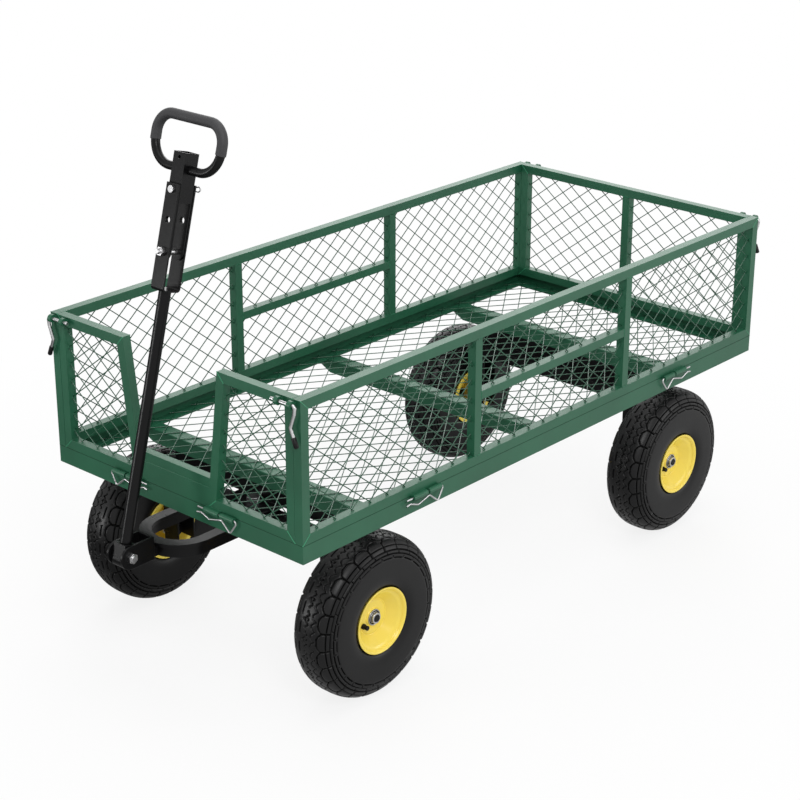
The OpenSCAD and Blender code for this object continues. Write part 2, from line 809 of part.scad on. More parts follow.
// One bearing: two races with a seal set back between them
module bearing(z, facing) {
    difference() {
        ring(z, bearing_w, bearing_r, axle_r + fit);
        ring(facing > 0 ? z + bearing_w - seal_d : z - over, seal_d + over,
             bearing_r - race, axle_r + race);
    }
}

module bearings(y, left) color(zinc) on_cart() at_wheel(y, left) {
    bearing(-hub_in + bearing_set, -1);
    bearing(hub_out - bearing_w, 1);
}

module valve(y, left) color(black) on_cart() at_wheel(y, left)
    translate([valve_at.x, valve_at.y, dish_u]) {
        cylinder(h = valve_boot_h, r = valve_r);
        translate([0, 0, valve_boot_h]) cylinder(h = valve_cap_h, r = valve_cap_r);
    }

// ---------- steering ----------

module steering_beam() color(black) on_cart() difference() {
    union() {
        axle_beam(front_axle_y, beam_z);
        translate([0, front_axle_y, beam_z]) cylinder(h = turn_t, r = turn_r - 4);
    }
    translate([0, front_axle_y, beam_z - beam_h])
        cylinder(h = beam_h + turn_t + over, r = kingpin_r);
}

// A bolt down through the turntable, with its nut under the beam's top
module kingpin() color(zinc) on_cart() translate([0, front_axle_y, 0]) {
    low = beam_z - carrier_t - king_head_h;
    translate([0, 0, low]) cylinder(h = king_top + seat - low, r = kingpin_r);
    translate([0, 0, king_top + seat]) cylinder(h = king_head_h, r = king_head_r, $fn = 6);
    translate([0, 0, low + 1]) cylinder(h = king_head_h - 1, r = king_head_r, $fn = 6);
}

// The outline of a U that is open to the rear, half wide, from its nose to back
module u_outline(half, inner, nose, back) {
    difference() {
        union() {
            translate([0, half - nose]) circle(r = half);
            translate([-half, half - nose]) square([2 * half, back - half + nose]);
        }
        translate([0, half - nose]) circle(r = inner);
        translate([-inner, half - nose]) square([2 * inner, back - half + nose + over]);
    }
}

// A flat U plate over a bar of the same bend, which runs back to the steering beam
module tongue() color(black) on_cart() {
    bar_out = tongue_half - tongue_inset;
    bar_in = bar_out - tongue_bar_w;
    bar_nose = tongue_reach - tongue_inset;
    plate_z = tongue_plate_z;
    translate([0, 0, plate_z]) linear_extrude(tongue_t)
        u_outline(tongue_half, tongue_half - tongue_w, tongue_reach, tongue_plate_back);
    translate([0, 0, tongue_bar_top]) linear_extrude(plate_z - tongue_bar_top)
        u_outline(bar_out, bar_in, bar_nose, tongue_plate_back);
    translate([0, 0, tongue_bar_top - tongue_bar_h]) linear_extrude(tongue_bar_h)
        u_outline(bar_out, bar_in, bar_nose, front_axle_y - beam_w / 2);
    block([-neck_w / 2, neck_w / 2], [-neck_front, 1 - bar_nose],
          [tongue_bar_top - tongue_bar_h, plate_z]);
}

// Two ears joined by a web at the tongue's neck
module tongue_clevis() color(black) on_cart() difference() {
    union() {
        both_sides() {
            translate([ear_x, -handle_y, -handle_z]) rotate([0, 90, 0])
                cylinder(h = ear_t, r = ear_r);
            block([ear_x, ear_x + ear_t], [-handle_y, -neck_front],
                  [-handle_z - ear_r, -handle_z + ear_r]);
        }
        block([-ear_x, ear_x], [-neck_front - ear_t, -neck_front],
              [-handle_z - ear_r, -handle_z + ear_r]);
    }
    translate([-ear_x - ear_t - over, -handle_y, -handle_z]) rotate([0, 90, 0])
        cylinder(h = 2 * (ear_x + ear_t + over), r = handle_bolt_r);
}

module handle_bolt() color(zinc) on_cart() translate([0, -handle_y, -handle_z])
    rotate([0, 90, 0]) {
        reach = ear_x + ear_t;
        translate([0, 0, -reach]) cylinder(h = 2 * reach + handle_head_h + 2, r = handle_bolt_r);
        for (z = [reach, -reach - handle_head_h])
            translate([0, 0, z]) cylinder(h = handle_head_h, r = handle_head_r, $fn = 6);
    }

// ---------- pull handle ----------

// The handle's own frame: z runs up the rod from its bolt, y points to the rear
module on_handle() {
    on_cart() translate([0, -handle_y, -handle_z]) rotate([-handle_lean, 0, 0]) children();
}

module handle_foot() color(black) on_handle() rotate([90, 0, 90])
    translate([0, 0, -foot_x]) linear_extrude(2 * foot_x) difference() {
        union() {
            translate([-foot_half, -foot_drop]) square([2 * foot_half, foot_top + foot_drop]);
            translate([0, -foot_drop]) circle(r = foot_half);
        }
        circle(r = handle_bolt_r + fit);
    }

module handle_rod() color(black) on_handle()
    translate([0, 0, foot_top]) cylinder(h = rod_l - foot_top, r = rod_r);

// The bracket's section, a U of bent plate seen from the side
module bracket_section() {
    half = bracket_d / 2;
    bend = bracket_bend;
    polygon(concat(
        [[-half, bracket_l]],
        [for (p = arc(bend, 180, 270, 8)) p + [bend - half, bend]],
        [for (p = arc(bend, 270, 360, 8)) p + [half - bend, bend]],
        [[half, bracket_l], [half - bracket_t, bracket_l]],
        [for (p = arc(bend - bracket_t, 360, 270, 8)) p + [half - bend, bend]],
        [for (p = arc(bend - bracket_t, 270, 180, 8)) p + [bend - half, bend]],
        [[bracket_t - half, bracket_l]]));
}

// A hole or a bolt through both plates, at height s above the bracket's foot
module through_bracket(s, r, from, to) {
    translate([0, from, rod_l + s]) rotate([-90, 0, 0]) cylinder(h = to - from, r = r);
}

module towing_bracket() color(black) on_handle() difference() {
    translate([-bracket_w / 2, 0, rod_l]) rotate([90, 0, 90])
        linear_extrude(bracket_w) bracket_section();
    through_bracket(pivot_s, pivot_r, -bracket_d, bracket_d);
    through_bracket(tow_s, tow_r, -bracket_d, bracket_d);
    through_bracket(lock_s, lock_r + fit, -bracket_d, bracket_d);
}

module grip_pivot_bolt() color(zinc) on_handle() {
    face = bracket_d / 2;
    through_bracket(pivot_s, pivot_r, -face - pivot_nut_h - pivot_past, face + 1);
    through_bracket(pivot_s, pivot_head_r, -face - pivot_nut_h, -face, $fn = 6);
    through_bracket(pivot_s, pivot_head_r, face, face + pivot_head_h, $fn = 6);
}

module hitch_pin() color(zinc) on_handle() difference() {
    union() {
        through_bracket(lock_s, lock_r, -bracket_d / 2 - 1, lock_tail);
        through_bracket(lock_s, lock_head_r, -bracket_d / 2 - lock_head_h, -bracket_d / 2);
    }
    translate([-lock_r - over, clip_y, rod_l + lock_s]) rotate([0, 90, 0])
        cylinder(h = 2 * (lock_r + over), r = clip_r + fit);
}

module r_clip() color(zinc) on_handle()
    translate([0, clip_y, rod_l + lock_s]) rotate([90, 0, 0])
        bent_wire(clip_path, clip_bend, clip_r);

// ---------- grip ----------

// The grip's own frame: its origin on the pivot, z up the handle
module on_grip() {
    on_handle() translate([0, 0, rod_l + pivot_s]) children();
}

// A square tube whose side walls are cut away below, so that its two cheeks span the pivot
module grip_tube() color(black) on_grip() difference() {
    union() {
        block([-grip_w / 2, grip_w / 2], [-grip_d / 2, grip_d / 2], [0, grip_l]);
        translate([0, -grip_d / 2, 0]) rotate([-90, 0, 0])
            cylinder(h = grip_d, r = grip_w / 2);
    }
    block([grip_t - grip_w / 2, grip_w / 2 - grip_t], [grip_t - grip_d / 2, grip_d / 2 - grip_t],
          [cheek_top - over, grip_l + over]);
    block([-grip_w, grip_w], [grip_t - grip_d / 2, grip_d / 2 - grip_t], [-grip_w, cheek_top]);
    translate([0, -grip_d, 0]) rotate([-90, 0, 0]) cylinder(h = 2 * grip_d, r = pivot_r + fit);
    translate([0, -grip_d, tow_s - pivot_s]) rotate([-90, 0, 0])
        cylinder(h = 2 * grip_d, r = tow_r);
    translate([0, -grip_d, lock_s - pivot_s]) rotate([-90, 0, 0])
        cylinder(h = 2 * grip_d, r = lock_r + fit);
    translate([0, -grip_d, drain_s]) rotate([-90, 0, 0]) cylinder(h = grip_d, r = drain_r);
    translate([-grip_w, 0, loop_s]) rotate([0, 90, 0]) cylinder(h = 2 * grip_w, r = loop_r);
}

// A quarter bend of the loop, its centre at x, z; from and to are angles from +X
module loop_bend(x, z, bend, from, to, r) {
    translate([x, 0, z]) rotate([90, 0, 0]) rotate(from)
        rotate_extrude(angle = to - from, $fn = 64) translate([bend, 0]) circle(r = r);
}

// The upper part of the loop, from the tops of its lower bends
module loop_top(r) {
    x = loop_w / 2;
    top = loop_s + loop_h;
    both_sides() {
        bar([x, 0, loop_s + bend_low - bend_lap], [x, 0, top - bend_high], r);
        loop_bend(x - bend_high, top - bend_high, bend_high, 0, 90, r);
    }
    bar([bend_high - x, 0, top], [x - bend_high, 0, top], r);
}

// The lower bends, from an angle below their tops
module loop_low(below, r) {
    both_sides() loop_bend(loop_w / 2 - bend_low, loop_s + bend_low, bend_low,
                           360 - below, 360, r + bend_swell);
}

module loop_solid() {
    loop_top(loop_r);
    loop_low(90, loop_r);
    half = loop_w / 2 - bend_low + bend_lap;
    bar([-half, 0, loop_s], [half, 0, loop_s], loop_r);
}

module grip_loop() color(black) on_grip() loop_solid();

module grip_sleeve() color("#303034") on_grip() difference() {
    union() {
        loop_top(loop_r + foam_t);
        loop_low(sleeve_start, loop_r + foam_t);
    }
    loop_solid();
}

// ---------- folding sides ----------

// Stands a 2D outline of an end panel up, from the face at y to y + tube
module stand_end(y) {
    translate([0, y + tube, 0]) rotate([90, 0, 0]) linear_extrude(tube) children();
}

// The opening of one front section, on the right
module front_window() {
    polygon([[slant(rail_z) + slanted_w / 2, rail_z], [end_x - tube, rail_z],
             [end_x - tube, top_z], [slant(top_z) + slanted_w / 2, top_z]]);
}

module front_panel() color(green) on_cart() {
    both_sides() {
        stand_end(0) difference() {
            polygon([[slant(panel_z) - slanted_w / 2, panel_z], [end_x, panel_z],
                     [end_x, panel_top], [slant(panel_top) - slanted_w / 2, panel_top]]);
            front_window();
        }
        eye(end_eye_x);
    }
    sill_top = panel_z + sill_h;
    stand_end(0) sill_outline(panel_z, sill_top);
    translate([0, tube - sill_inset, 0]) rotate([90, 0, 0])
        linear_extrude(tube - 2 * sill_inset) sill_outline(sill_top, slot_z);
    for (end = [NEAR, FAR]) at_hinge(FRONT, end) panel_barrel();
}

// The sill between the slanted posts, from height low to high
module sill_outline(low, high) {
    polygon([[-slant(low), low], [slant(low), low], [slant(high), high], [-slant(high), high]]);
}

module front_mesh() color(green) on_cart()
    end_mesh(0, front_pitch_u, front_pitch_v, front_first, tray_w) both_window_sides()
        front_window();

// The same window on the left and the right
module both_window_sides() {
    children();
    mirror([1, 0]) children();
}

module rear_windows() {
    for (u = [[tube - end_x, -rear_post_x - tube / 2], [tube / 2 - rear_post_x, end_x - tube]])
        window(u, [rail_z, top_z]);
}

module rear_panel() color(green) on_cart() {
    stand_end(tray_l - tube) difference() {
        window([-end_x, end_x], [panel_z, panel_top]);
        rear_windows();
    }
    for (left = [false, true]) at_corner(REAR, left) eye(end_eye_x);
    for (end = [NEAR, FAR]) at_hinge(REAR, end) panel_barrel();
}

module rear_mesh() color(green) on_cart()
    end_mesh(tray_l - tube, rear_pitch_u, rear_pitch_v, rear_first, tray_w) rear_windows();

// The openings of a side panel, along the cart and up
module side_windows() {
    post = tube / 2;
    near = (tray_l - mid_span) / 2;
    far = (tray_l + mid_span) / 2;
    mid_z = panel_z + mid_rail_z;
    window([tube, near - post], [rail_z, top_z]);
    window([near + post, far - post], [rail_z, mid_z]);
    window([near + post, far - post], [mid_z + mid_rail_h, top_z]);
    window([far + post, tray_l - tube], [rail_z, top_z]);
}

module side_panel(side) color(green) on_cart() {
    mirror([side == LEFT ? 1 : 0, 0, 0]) {
        translate([side_x, 0, 0]) rotate([90, 0, 90]) linear_extrude(tube) difference() {
            window([0, tray_l], [panel_z, panel_top]);
            side_windows();
        }
        for (end = [FRONT, REAR]) at_corner(end, false) eye(side_eye_x);
    }
    for (end = [NEAR, FAR]) at_hinge(side, end) panel_barrel();
}

module side_mesh(side) color(green) on_cart()
    mirror([side == LEFT ? 1 : 0, 0, 0])
        translate([side_x + tube / 2, 0, 0]) rotate([90, 0, 90])
            mesh_sheet(side_pitch_u, side_pitch_v, [tray_l / 2, rail_z + side_first],
                       tray_l / 2 + side_h) side_windows();

// ---------- the nodes ----------

deck_frame();
deck_mesh();
cross_members();
front_bolster();
rear_carrier();
rear_axle();
steering_beam();
front_axle();
kingpin();
tongue();
tongue_clevis();
handle_bolt();
handle_rod();
handle_foot();
towing_bracket();
grip_pivot_bolt();
grip_tube();
grip_loop();
grip_sleeve();
hitch_pin();
r_clip();
tyre(front_axle_y, true);  // tyre_front_left
tyre(front_axle_y, false);  // tyre_front_right
tyre(rear_axle_y, true);  // tyre_rear_left
tyre(rear_axle_y, false);  // tyre_rear_right
rim(front_axle_y, true);  // rim_front_left
rim(front_axle_y, false);  // rim_front_right
rim(rear_axle_y, true);  // rim_rear_left
rim(rear_axle_y, false);  // rim_rear_right
bearings(front_axle_y, true);  // bearings_front_left
bearings(front_axle_y, false);  // bearings_front_right
bearings(rear_axle_y, true);  // bearings_rear_left
bearings(rear_axle_y, false);  // bearings_rear_right
valve(front_axle_y, true);  // valve_front_left
valve(front_axle_y, false);  // valve_front_right
valve(rear_axle_y, true);  // valve_rear_left
valve(rear_axle_y, false);  // valve_rear_right
front_wheel_nuts();
rear_wheel_nuts();
front_panel();
front_mesh();
rear_panel();
rear_mesh();
side_panel(LEFT);  // left_panel
side_mesh(LEFT);  // left_mesh
side_panel(RIGHT);  // right_panel
side_mesh(RIGHT);  // right_mesh
latch(FRONT, true);  // latch_front_left
latch(FRONT, false);  // latch_front_right
latch(REAR, true);  // latch_rear_left
latch(REAR, false);  // latch_rear_right
hinge_pin(FRONT, NEAR);  // hinge_pin_front_left
hinge_pin(FRONT, FAR);  // hinge_pin_front_right
hinge_pin(REAR, NEAR);  // hinge_pin_rear_left
hinge_pin(REAR, FAR);  // hinge_pin_rear_right
hinge_pin(LEFT, NEAR);  // hinge_pin_left_front
hinge_pin(LEFT, FAR);  // hinge_pin_left_rear
hinge_pin(RIGHT, NEAR);  // hinge_pin_right_front
hinge_pin(RIGHT, FAR);  // hinge_pin_right_rear
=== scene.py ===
import json
import math

import bmesh
import bpy
import numpy as np
from bpy.props import FloatProperty, FloatVectorProperty, IntProperty, PointerProperty
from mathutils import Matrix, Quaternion, Vector

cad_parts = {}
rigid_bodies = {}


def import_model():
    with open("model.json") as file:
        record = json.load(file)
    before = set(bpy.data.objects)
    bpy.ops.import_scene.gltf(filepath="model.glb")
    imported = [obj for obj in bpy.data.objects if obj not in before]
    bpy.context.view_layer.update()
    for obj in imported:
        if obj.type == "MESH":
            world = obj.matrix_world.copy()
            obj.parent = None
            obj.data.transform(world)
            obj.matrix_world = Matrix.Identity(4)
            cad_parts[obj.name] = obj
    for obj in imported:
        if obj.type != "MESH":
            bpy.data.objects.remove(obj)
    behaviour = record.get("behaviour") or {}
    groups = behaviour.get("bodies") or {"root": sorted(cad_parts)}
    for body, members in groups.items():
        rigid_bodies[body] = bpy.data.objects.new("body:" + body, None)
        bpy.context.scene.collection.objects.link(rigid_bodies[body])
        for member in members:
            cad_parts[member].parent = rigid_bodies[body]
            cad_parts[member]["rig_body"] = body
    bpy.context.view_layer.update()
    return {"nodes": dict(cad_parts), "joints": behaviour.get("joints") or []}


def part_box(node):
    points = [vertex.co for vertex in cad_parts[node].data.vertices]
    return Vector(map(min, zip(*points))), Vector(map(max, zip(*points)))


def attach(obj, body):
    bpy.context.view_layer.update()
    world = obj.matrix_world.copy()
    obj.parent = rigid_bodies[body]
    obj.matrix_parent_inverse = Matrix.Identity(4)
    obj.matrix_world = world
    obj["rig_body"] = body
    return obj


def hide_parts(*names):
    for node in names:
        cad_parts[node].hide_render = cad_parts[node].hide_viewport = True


bl_info = {
    "name": "Garden Cart",
    "version": (1, 0, 0),
    "blender": (4, 5, 0),
    "location": "3D View > Sidebar > Garden Cart",
    "description": "Dresses a steel mesh garden cart with folding sides and pneumatic wheels",
    "category": "Object",
}

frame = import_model()
NODES = frame["nodes"]
JOINTS = {joint["name"]: joint for joint in frame["joints"]}

# The floor mesh's distance from the tray's outer faces, and the height of its underside
FLOOR_EDGE = 0.004
FLOOR_LOW = 0.012
# The tray's own frame: x = 0 in the middle, y = 0 at its front face, z = 0 at its lower edge
TRAY_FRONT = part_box("deck_mesh")[0].y - FLOOR_EDGE
TRAY_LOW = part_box("deck_mesh")[0].z - FLOOR_LOW
CORNERS = [(end, side) for end in ("front", "rear") for side in ("left", "right")]
OUTWARD = {"left": -1, "right": 1}


# ---------- sizes and colours ----------


class TraySizes(bpy.types.PropertyGroup):
    """Sizes of the tray and its folding sides"""

    length: FloatProperty(
        name="Length", description="Length of the tray", default=1.2, unit="LENGTH")
    width: FloatProperty(
        name="Width", description="Width of the tray over its side panels",
        default=2 * (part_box("deck_mesh")[1].x + FLOOR_EDGE), unit="LENGTH")
    wall: FloatProperty(
        name="Deck wall", description="Height of the deck's wall", default=0.0305, unit="LENGTH")
    side: FloatProperty(
        name="Side height", description="Height of the folding sides", default=0.232,
        unit="LENGTH")
    tube: FloatProperty(
        name="Tube", description="Thickness of the square tube", default=0.016, unit="LENGTH")
    side_gap: FloatProperty(
        name="Side gap", description="Gap between side and end panels", default=0.0005,
        unit="LENGTH")
    mid_span: FloatProperty(
        name="Mid bay", description="Distance between a side's mid posts", default=0.4,
        unit="LENGTH")
    mid_rail: FloatProperty(
        name="Mid rail", description="Height of the mid rail above the panel", default=0.1105,
        unit="LENGTH")
    mid_rail_h: FloatProperty(
        name="Mid rail depth", description="Height of the mid rail itself", default=0.0145,
        unit="LENGTH")
    rear_post: FloatProperty(
        name="Rear post", description="Distance of the rear post from the middle", default=0.0065,
        unit="LENGTH")
    slot_half: FloatProperty(
        name="Front opening", description="Half width of the front opening", default=0.0913,
        unit="LENGTH")
    slot_lean: FloatProperty(
        name="Post lean", description="Lean of the slanted posts", default=0.126)
    sill: FloatProperty(
        name="Sill", description="Height of the sill's lower member", default=0.0335,
        unit="LENGTH")
    bead: FloatProperty(
        name="Weld bead", description="Radius of the weld beads", default=0.0008, unit="LENGTH")
    latch_out: FloatProperty(
        name="Latch distance", description="Distance of a latch from its panel", default=0.008,
        unit="LENGTH")
    latch_drop: FloatProperty(
        name="Latch drop", description="Depth of a latch below the panel's top", default=0.0065,
        unit="LENGTH")


class WireSizes(bpy.types.PropertyGroup):
    """Sizes of the wire mesh"""

    radius: FloatProperty(
        name="Wire radius", description="Radius of a mesh wire", default=0.00085, unit="LENGTH")
    layer: FloatProperty(
        name="Layer offset", description="Distance of a wire layer from the middle",
        default=0.00065, unit="LENGTH")
    bury: FloatProperty(
        name="Buried end", description="How far a wire's end goes into its tube", default=0.0008,
        unit="LENGTH")
    side: FloatVectorProperty(
        name="Side diamond", description="Length and height of the side mesh's diamonds",
        default=(0.0388, 0.0314), size=2, unit="LENGTH")
    rear: FloatVectorProperty(
        name="Rear diamond", description="Width and height of the rear mesh's diamonds",
        default=(0.0411, 0.0317), size=2, unit="LENGTH")
    front: FloatVectorProperty(
        name="Front diamond", description="Width and height of the front mesh's diamonds",
        default=(0.0385, 0.029), size=2, unit="LENGTH")
    floor: FloatVectorProperty(
        name="Floor diamond", description="Width and length of the floor mesh's diamonds",
        default=(0.0362, 0.0506), size=2, unit="LENGTH")


class WheelSizes(bpy.types.PropertyGroup):
    """Sizes of the tyres and rims"""

    radius: FloatProperty(
        name="Tyre radius", description="Radius of the tyre", default=0.1356, unit="LENGTH")
    half_width: FloatProperty(
        name="Tyre half width", description="Half of the tyre's width", default=0.0405,
        unit="LENGTH")
    belly: FloatProperty(
        name="Widest radius", description="Radius at which the tyre is widest", default=0.088,
        unit="LENGTH")
    bead: FloatProperty(
        name="Bead radius", description="Radius of the tyre's bead", default=0.0505, unit="LENGTH")
    blocks: IntProperty(
        name="Tread blocks", description="Tread blocks around each shoulder", default=26)


class PaintColours(bpy.types.PropertyGroup):
    """Colours of the cart"""

    green: FloatVectorProperty(
        name="Green paint", description="Powder coat of the tray", default=(0.014, 0.1, 0.05),
        subtype="COLOR")
    black: FloatVectorProperty(
        name="Black paint", description="Powder coat of the undercarriage",
        default=(0.004, 0.004, 0.0043), subtype="COLOR")
    yellow: FloatVectorProperty(
        name="Yellow paint", description="Gloss paint of the rims", default=(0.9, 0.7, 0.1),
        subtype="COLOR")
    zinc: FloatVectorProperty(
        name="Zinc", description="Zinc plating of bolts and wires", default=(0.5, 0.5, 0.505),
        subtype="COLOR")
    rubber: FloatVectorProperty(
        name="Rubber", description="Rubber of the tyres", default=(0.0035, 0.0035, 0.0037),
        subtype="COLOR")
    foam: FloatVectorProperty(
        name="Foam", description="Foam sleeve of the grip", default=(0.022, 0.022, 0.024),
        subtype="COLOR")


class StageSizes(bpy.types.PropertyGroup):
    """Sizes of the camera and lights"""

    lens: FloatProperty(
        name="Lens", description="Focal length of the camera", default=90.1, unit="CAMERA")
    ambient: FloatProperty(
        name="Ambient", description="Strength of the even light", default=0.44)
    overhead: FloatProperty(
        name="Overhead", description="Power of the lamp above", default=38.0, unit="POWER")
    key: FloatProperty(
        name="Key", description="Power of the lamp in front on the right", default=48.0,
        unit="POWER")
    low: FloatProperty(
        name="Low", description="Power of the low lamp in front on the left", default=27.0,
        unit="POWER")
    back: FloatProperty(
        name="Back", description="Power of the lamp behind", default=42.0, unit="POWER")
    side: FloatProperty(
        name="Side", description="Power of the lamp behind on the right", default=22.0,
        unit="POWER")


GROUPS = {"cart_tray": TraySizes, "cart_wires": WireSizes, "cart_wheels": WheelSizes,
          "cart_paint": PaintColours, "cart_stage": StageSizes}


# ---------- materials ----------

# Depth of a groove, in millimetres, at which the rubber is at its most matt and its painted groove
# shade at its darkest
FULL_GROOVE = 3.0


class Nodes:
    """A material's node tree, with short calls to add and join its nodes"""

    def __init__(self, name):
        self.material = bpy.data.materials.new(name)
        self.material.use_nodes = True
        self.tree = self.material.node_tree
        self.shader = self.tree.nodes["Principled BSDF"]
        self.place = self.add("ShaderNodeTexCoord").outputs["Object"]

    def add(self, kind, links=(), **settings):
        """A new node, with its inputs joined by links and its other values set"""
        node = self.tree.nodes.new(kind)
        for key, value in settings.items():
            if key in node.inputs:
                node.inputs[key].default_value = value
            else:
                setattr(node, key, value)
        for socket, source in dict(links).items():
            self.tree.links.new(source, node.inputs[socket])
        return node

    def noise(self, scale, detail=3.0, roughness=0.55):
        """Noise that keeps to the piece's own place"""
        node = self.add("ShaderNodeTexNoise", {"Vector": self.place}, Scale=scale,
                        Detail=detail, Roughness=roughness)
        return node.outputs["Fac"]

    def ramp(self, source, stops):
        """The source's number turned into colours"""
        node = self.add("ShaderNodeValToRGB", {"Fac": source})
        ramp = node.color_ramp
        while len(ramp.elements) < len(stops):
            ramp.elements.new(0.5)
        for element, (at, colour) in zip(ramp.elements, stops):
            element.position = at
            element.color = (*colour, 1.0)
        return node.outputs["Color"]

    def number(self, source, low, high, start=0.0, stop=1.0):
        """The source's range from start to stop turned into the range from low to high"""
        node = self.add("ShaderNodeMapRange", {"Value": source})
        for socket, value in (("From Min", start), ("From Max", stop),
                              ("To Min", low), ("To Max", high)):
            node.inputs[socket].default_value = value
        return node.outputs["Result"]

    def maths(self, operation, first, second):
        """Maths on two values, each a number or another node's output"""
        node = self.add("ShaderNodeMath", operation=operation)
        for socket, value in zip(node.inputs, (first, second)):
            if isinstance(value, float):
                socket.default_value = value
            else:
                self.tree.links.new(value, socket)
        return node.outputs[0]

    def colour(self, source):
        self.tree.links.new(source, self.shader.inputs["Base Color"])

    def rough(self, source):
        self.tree.links.new(source, self.shader.inputs["Roughness"])

    def bump(self, source, strength, depth):
        node = self.add("ShaderNodeBump", {"Height": source}, Strength=strength, Distance=depth)
        self.tree.links.new(node.outputs["Normal"], self.shader.inputs["Normal"])

    def fixed(self, **values):
        """Sets the shader's own sockets"""
        for name, value in values.items():
            self.shader.inputs[name.replace("_", " ")].default_value = value


def shade(colour, factor):
    """The colour times a factor"""
    return tuple(min(1.0, channel * factor) for channel in colour)


def powder_coat(name, colour, rough_low, rough_high, spread, gloss):
    """Powder coat: a fine orange peel, a little cloudiness in colour and in gloss"""
    nodes = Nodes(name)
    nodes.colour(nodes.ramp(nodes.noise(9.0, 4.0), [(0.3, shade(colour, 1 - spread)),
                                                    (0.7, shade(colour, 1 + spread))]))
    nodes.rough(nodes.number(nodes.noise(26.0, 5.0), rough_low, rough_high))
    nodes.bump(nodes.noise(900.0, 2.0), 0.12, 0.0004)
    nodes.fixed(Specular_IOR_Level=gloss)
    return nodes.material


def green_paint(paint):
    return powder_coat("green_powder_coat", paint.green, 0.34, 0.46, 0.12, 0.38)


def wire_shaded_paint(paint):
    """Green paint on thin wire, smoother, with its colour darkened as painted shade so that the
    wires look darker
    """
    return powder_coat("green_wire_paint", shade(paint.green, 0.75), 0.2, 0.3, 0.1, 0.5)


def seam_shade_paint(paint):
    """Green paint on a thin rod along the deck's top edge, darkened as painted shade for the seam
    where the folding sides stand over it
    """
    return powder_coat("green_seam_paint", shade(paint.green, 0.45), 0.5, 0.6, 0.1, 0.15)


def weld_highlight_paint(paint):
    """Green paint over a ground weld, smoother than the tube's and painted paler than it as a
    painted highlight, so that the beads show as bright lines
    """
    return powder_coat("green_weld_paint", shade(paint.green, 2.6), 0.3, 0.4, 0.3, 0.4)


def black_paint(paint):
    return powder_coat("black_powder_coat", paint.black, 0.24, 0.34, 0.2, 0.15)


def yellow_paint(paint):
    """Gloss paint, smoother than the powder coats"""
    return powder_coat("yellow_gloss_paint", paint.yellow, 0.2, 0.28, 0.05, 0.5)


def zinc_plate(paint):
    """Bright zinc: metal with a fine mottled gloss"""
    nodes = Nodes("zinc_plate")
    nodes.colour(nodes.ramp(nodes.noise(120.0, 4.0),
                            [(0.3, shade(paint.zinc, 0.82)), (0.7, shade(paint.zinc, 1.12))]))
    nodes.rough(nodes.number(nodes.noise(300.0, 3.0), 0.2, 0.42))
    nodes.bump(nodes.noise(1500.0, 2.0), 0.08, 0.0003)
    nodes.fixed(Metallic=1.0)
    return nodes.material


def tyre_rubber(paint):
    """Rubber: a faint bloom in broad patches and a fine grain, matt in the grooves and darkened
    there by depth as painted shade
    """
    nodes = Nodes("tyre_rubber")
    bloom = nodes.ramp(nodes.noise(14.0, 5.0),
                       [(0.25, shade(paint.rubber, 0.75)), (0.75, shade(paint.rubber, 1.35))])
    sunk = nodes.add("ShaderNodeAttribute", attribute_name="sunk")
    depth = nodes.number(sunk.outputs["Fac"], 0.0, 1.0, 0.0, FULL_GROOVE)
    # Painted shade: the rubber's colour darkens with the depth of a groove
    groove_shade = nodes.ramp(depth, [(0.3, (1, 1, 1)), (0.75, (0.03, 0.03, 0.03))])
    dark = nodes.add("ShaderNodeMix", {"A": bloom, "B": groove_shade}, data_type="RGBA",
                     blend_type="MULTIPLY", Factor=1.0)
    nodes.colour(dark.outputs["Result"])
    grain = nodes.number(nodes.noise(60.0, 4.0), 0.3, 0.4)
    nodes.rough(nodes.maths("MAXIMUM", grain, depth))
    nodes.bump(nodes.noise(1100.0, 3.0), 0.2, 0.0004)
    nodes.fixed(Specular_IOR_Level=0.24)
    return nodes.material


def grip_foam(paint):
    """Foam: fine pores over a matte skin"""
    nodes = Nodes("grip_foam")
    pores = nodes.add("ShaderNodeTexVoronoi", {"Vector": nodes.place}, Scale=900.0)
    nodes.colour(nodes.ramp(nodes.noise(40.0, 4.0),
                            [(0.3, shade(paint.foam, 0.8)), (0.7, shade(paint.foam, 1.25))]))
    nodes.rough(nodes.number(nodes.noise(80.0, 3.0), 0.55, 0.7))
    nodes.bump(pores.outputs["Distance"], 0.2, 0.0004)
    return nodes.material


def hard_rubber(paint):
    """Black seals, valves and latch tips: smooth hard rubber"""
    nodes = Nodes("hard_rubber")
    nodes.colour(nodes.ramp(nodes.noise(90.0, 3.0),
                            [(0.3, shade(paint.rubber, 0.5)), (0.7, shade(paint.rubber, 0.8))]))
    nodes.rough(nodes.number(nodes.noise(200.0, 3.0), 0.35, 0.5))
    nodes.bump(nodes.noise(1200.0, 2.0), 0.1, 0.0003)
    nodes.fixed(Specular_IOR_Level=0.2)
    return nodes.material


FINISHES = {
    "green_steel": green_paint, "green_weld": weld_highlight_paint, "green_wire": wire_shaded_paint,
    "green_seam": seam_shade_paint, "black_steel": black_paint, "yellow_steel": yellow_paint,
    "zinc": zinc_plate, "tyre": tyre_rubber, "foam": grip_foam, "valve_rubber": hard_rubber,
}
# The materials made so far
MADE = {}


def finish_of(finish):
    """The material of a finish, made once"""
    if finish not in MADE:
        MADE[finish] = FINISHES[finish](bpy.context.scene.cart_paint)
    return MADE[finish]


# ---------- meshes ----------

# How a copy of a CAD node is cleaned: points closer than this become one, faces at a smaller
# angle than this become one, and edges sharper than this are rounded
MERGE_DISTANCE = 2e-6
FLAT_ANGLE = math.radians(0.5)
HARD_ANGLE = math.radians(50)


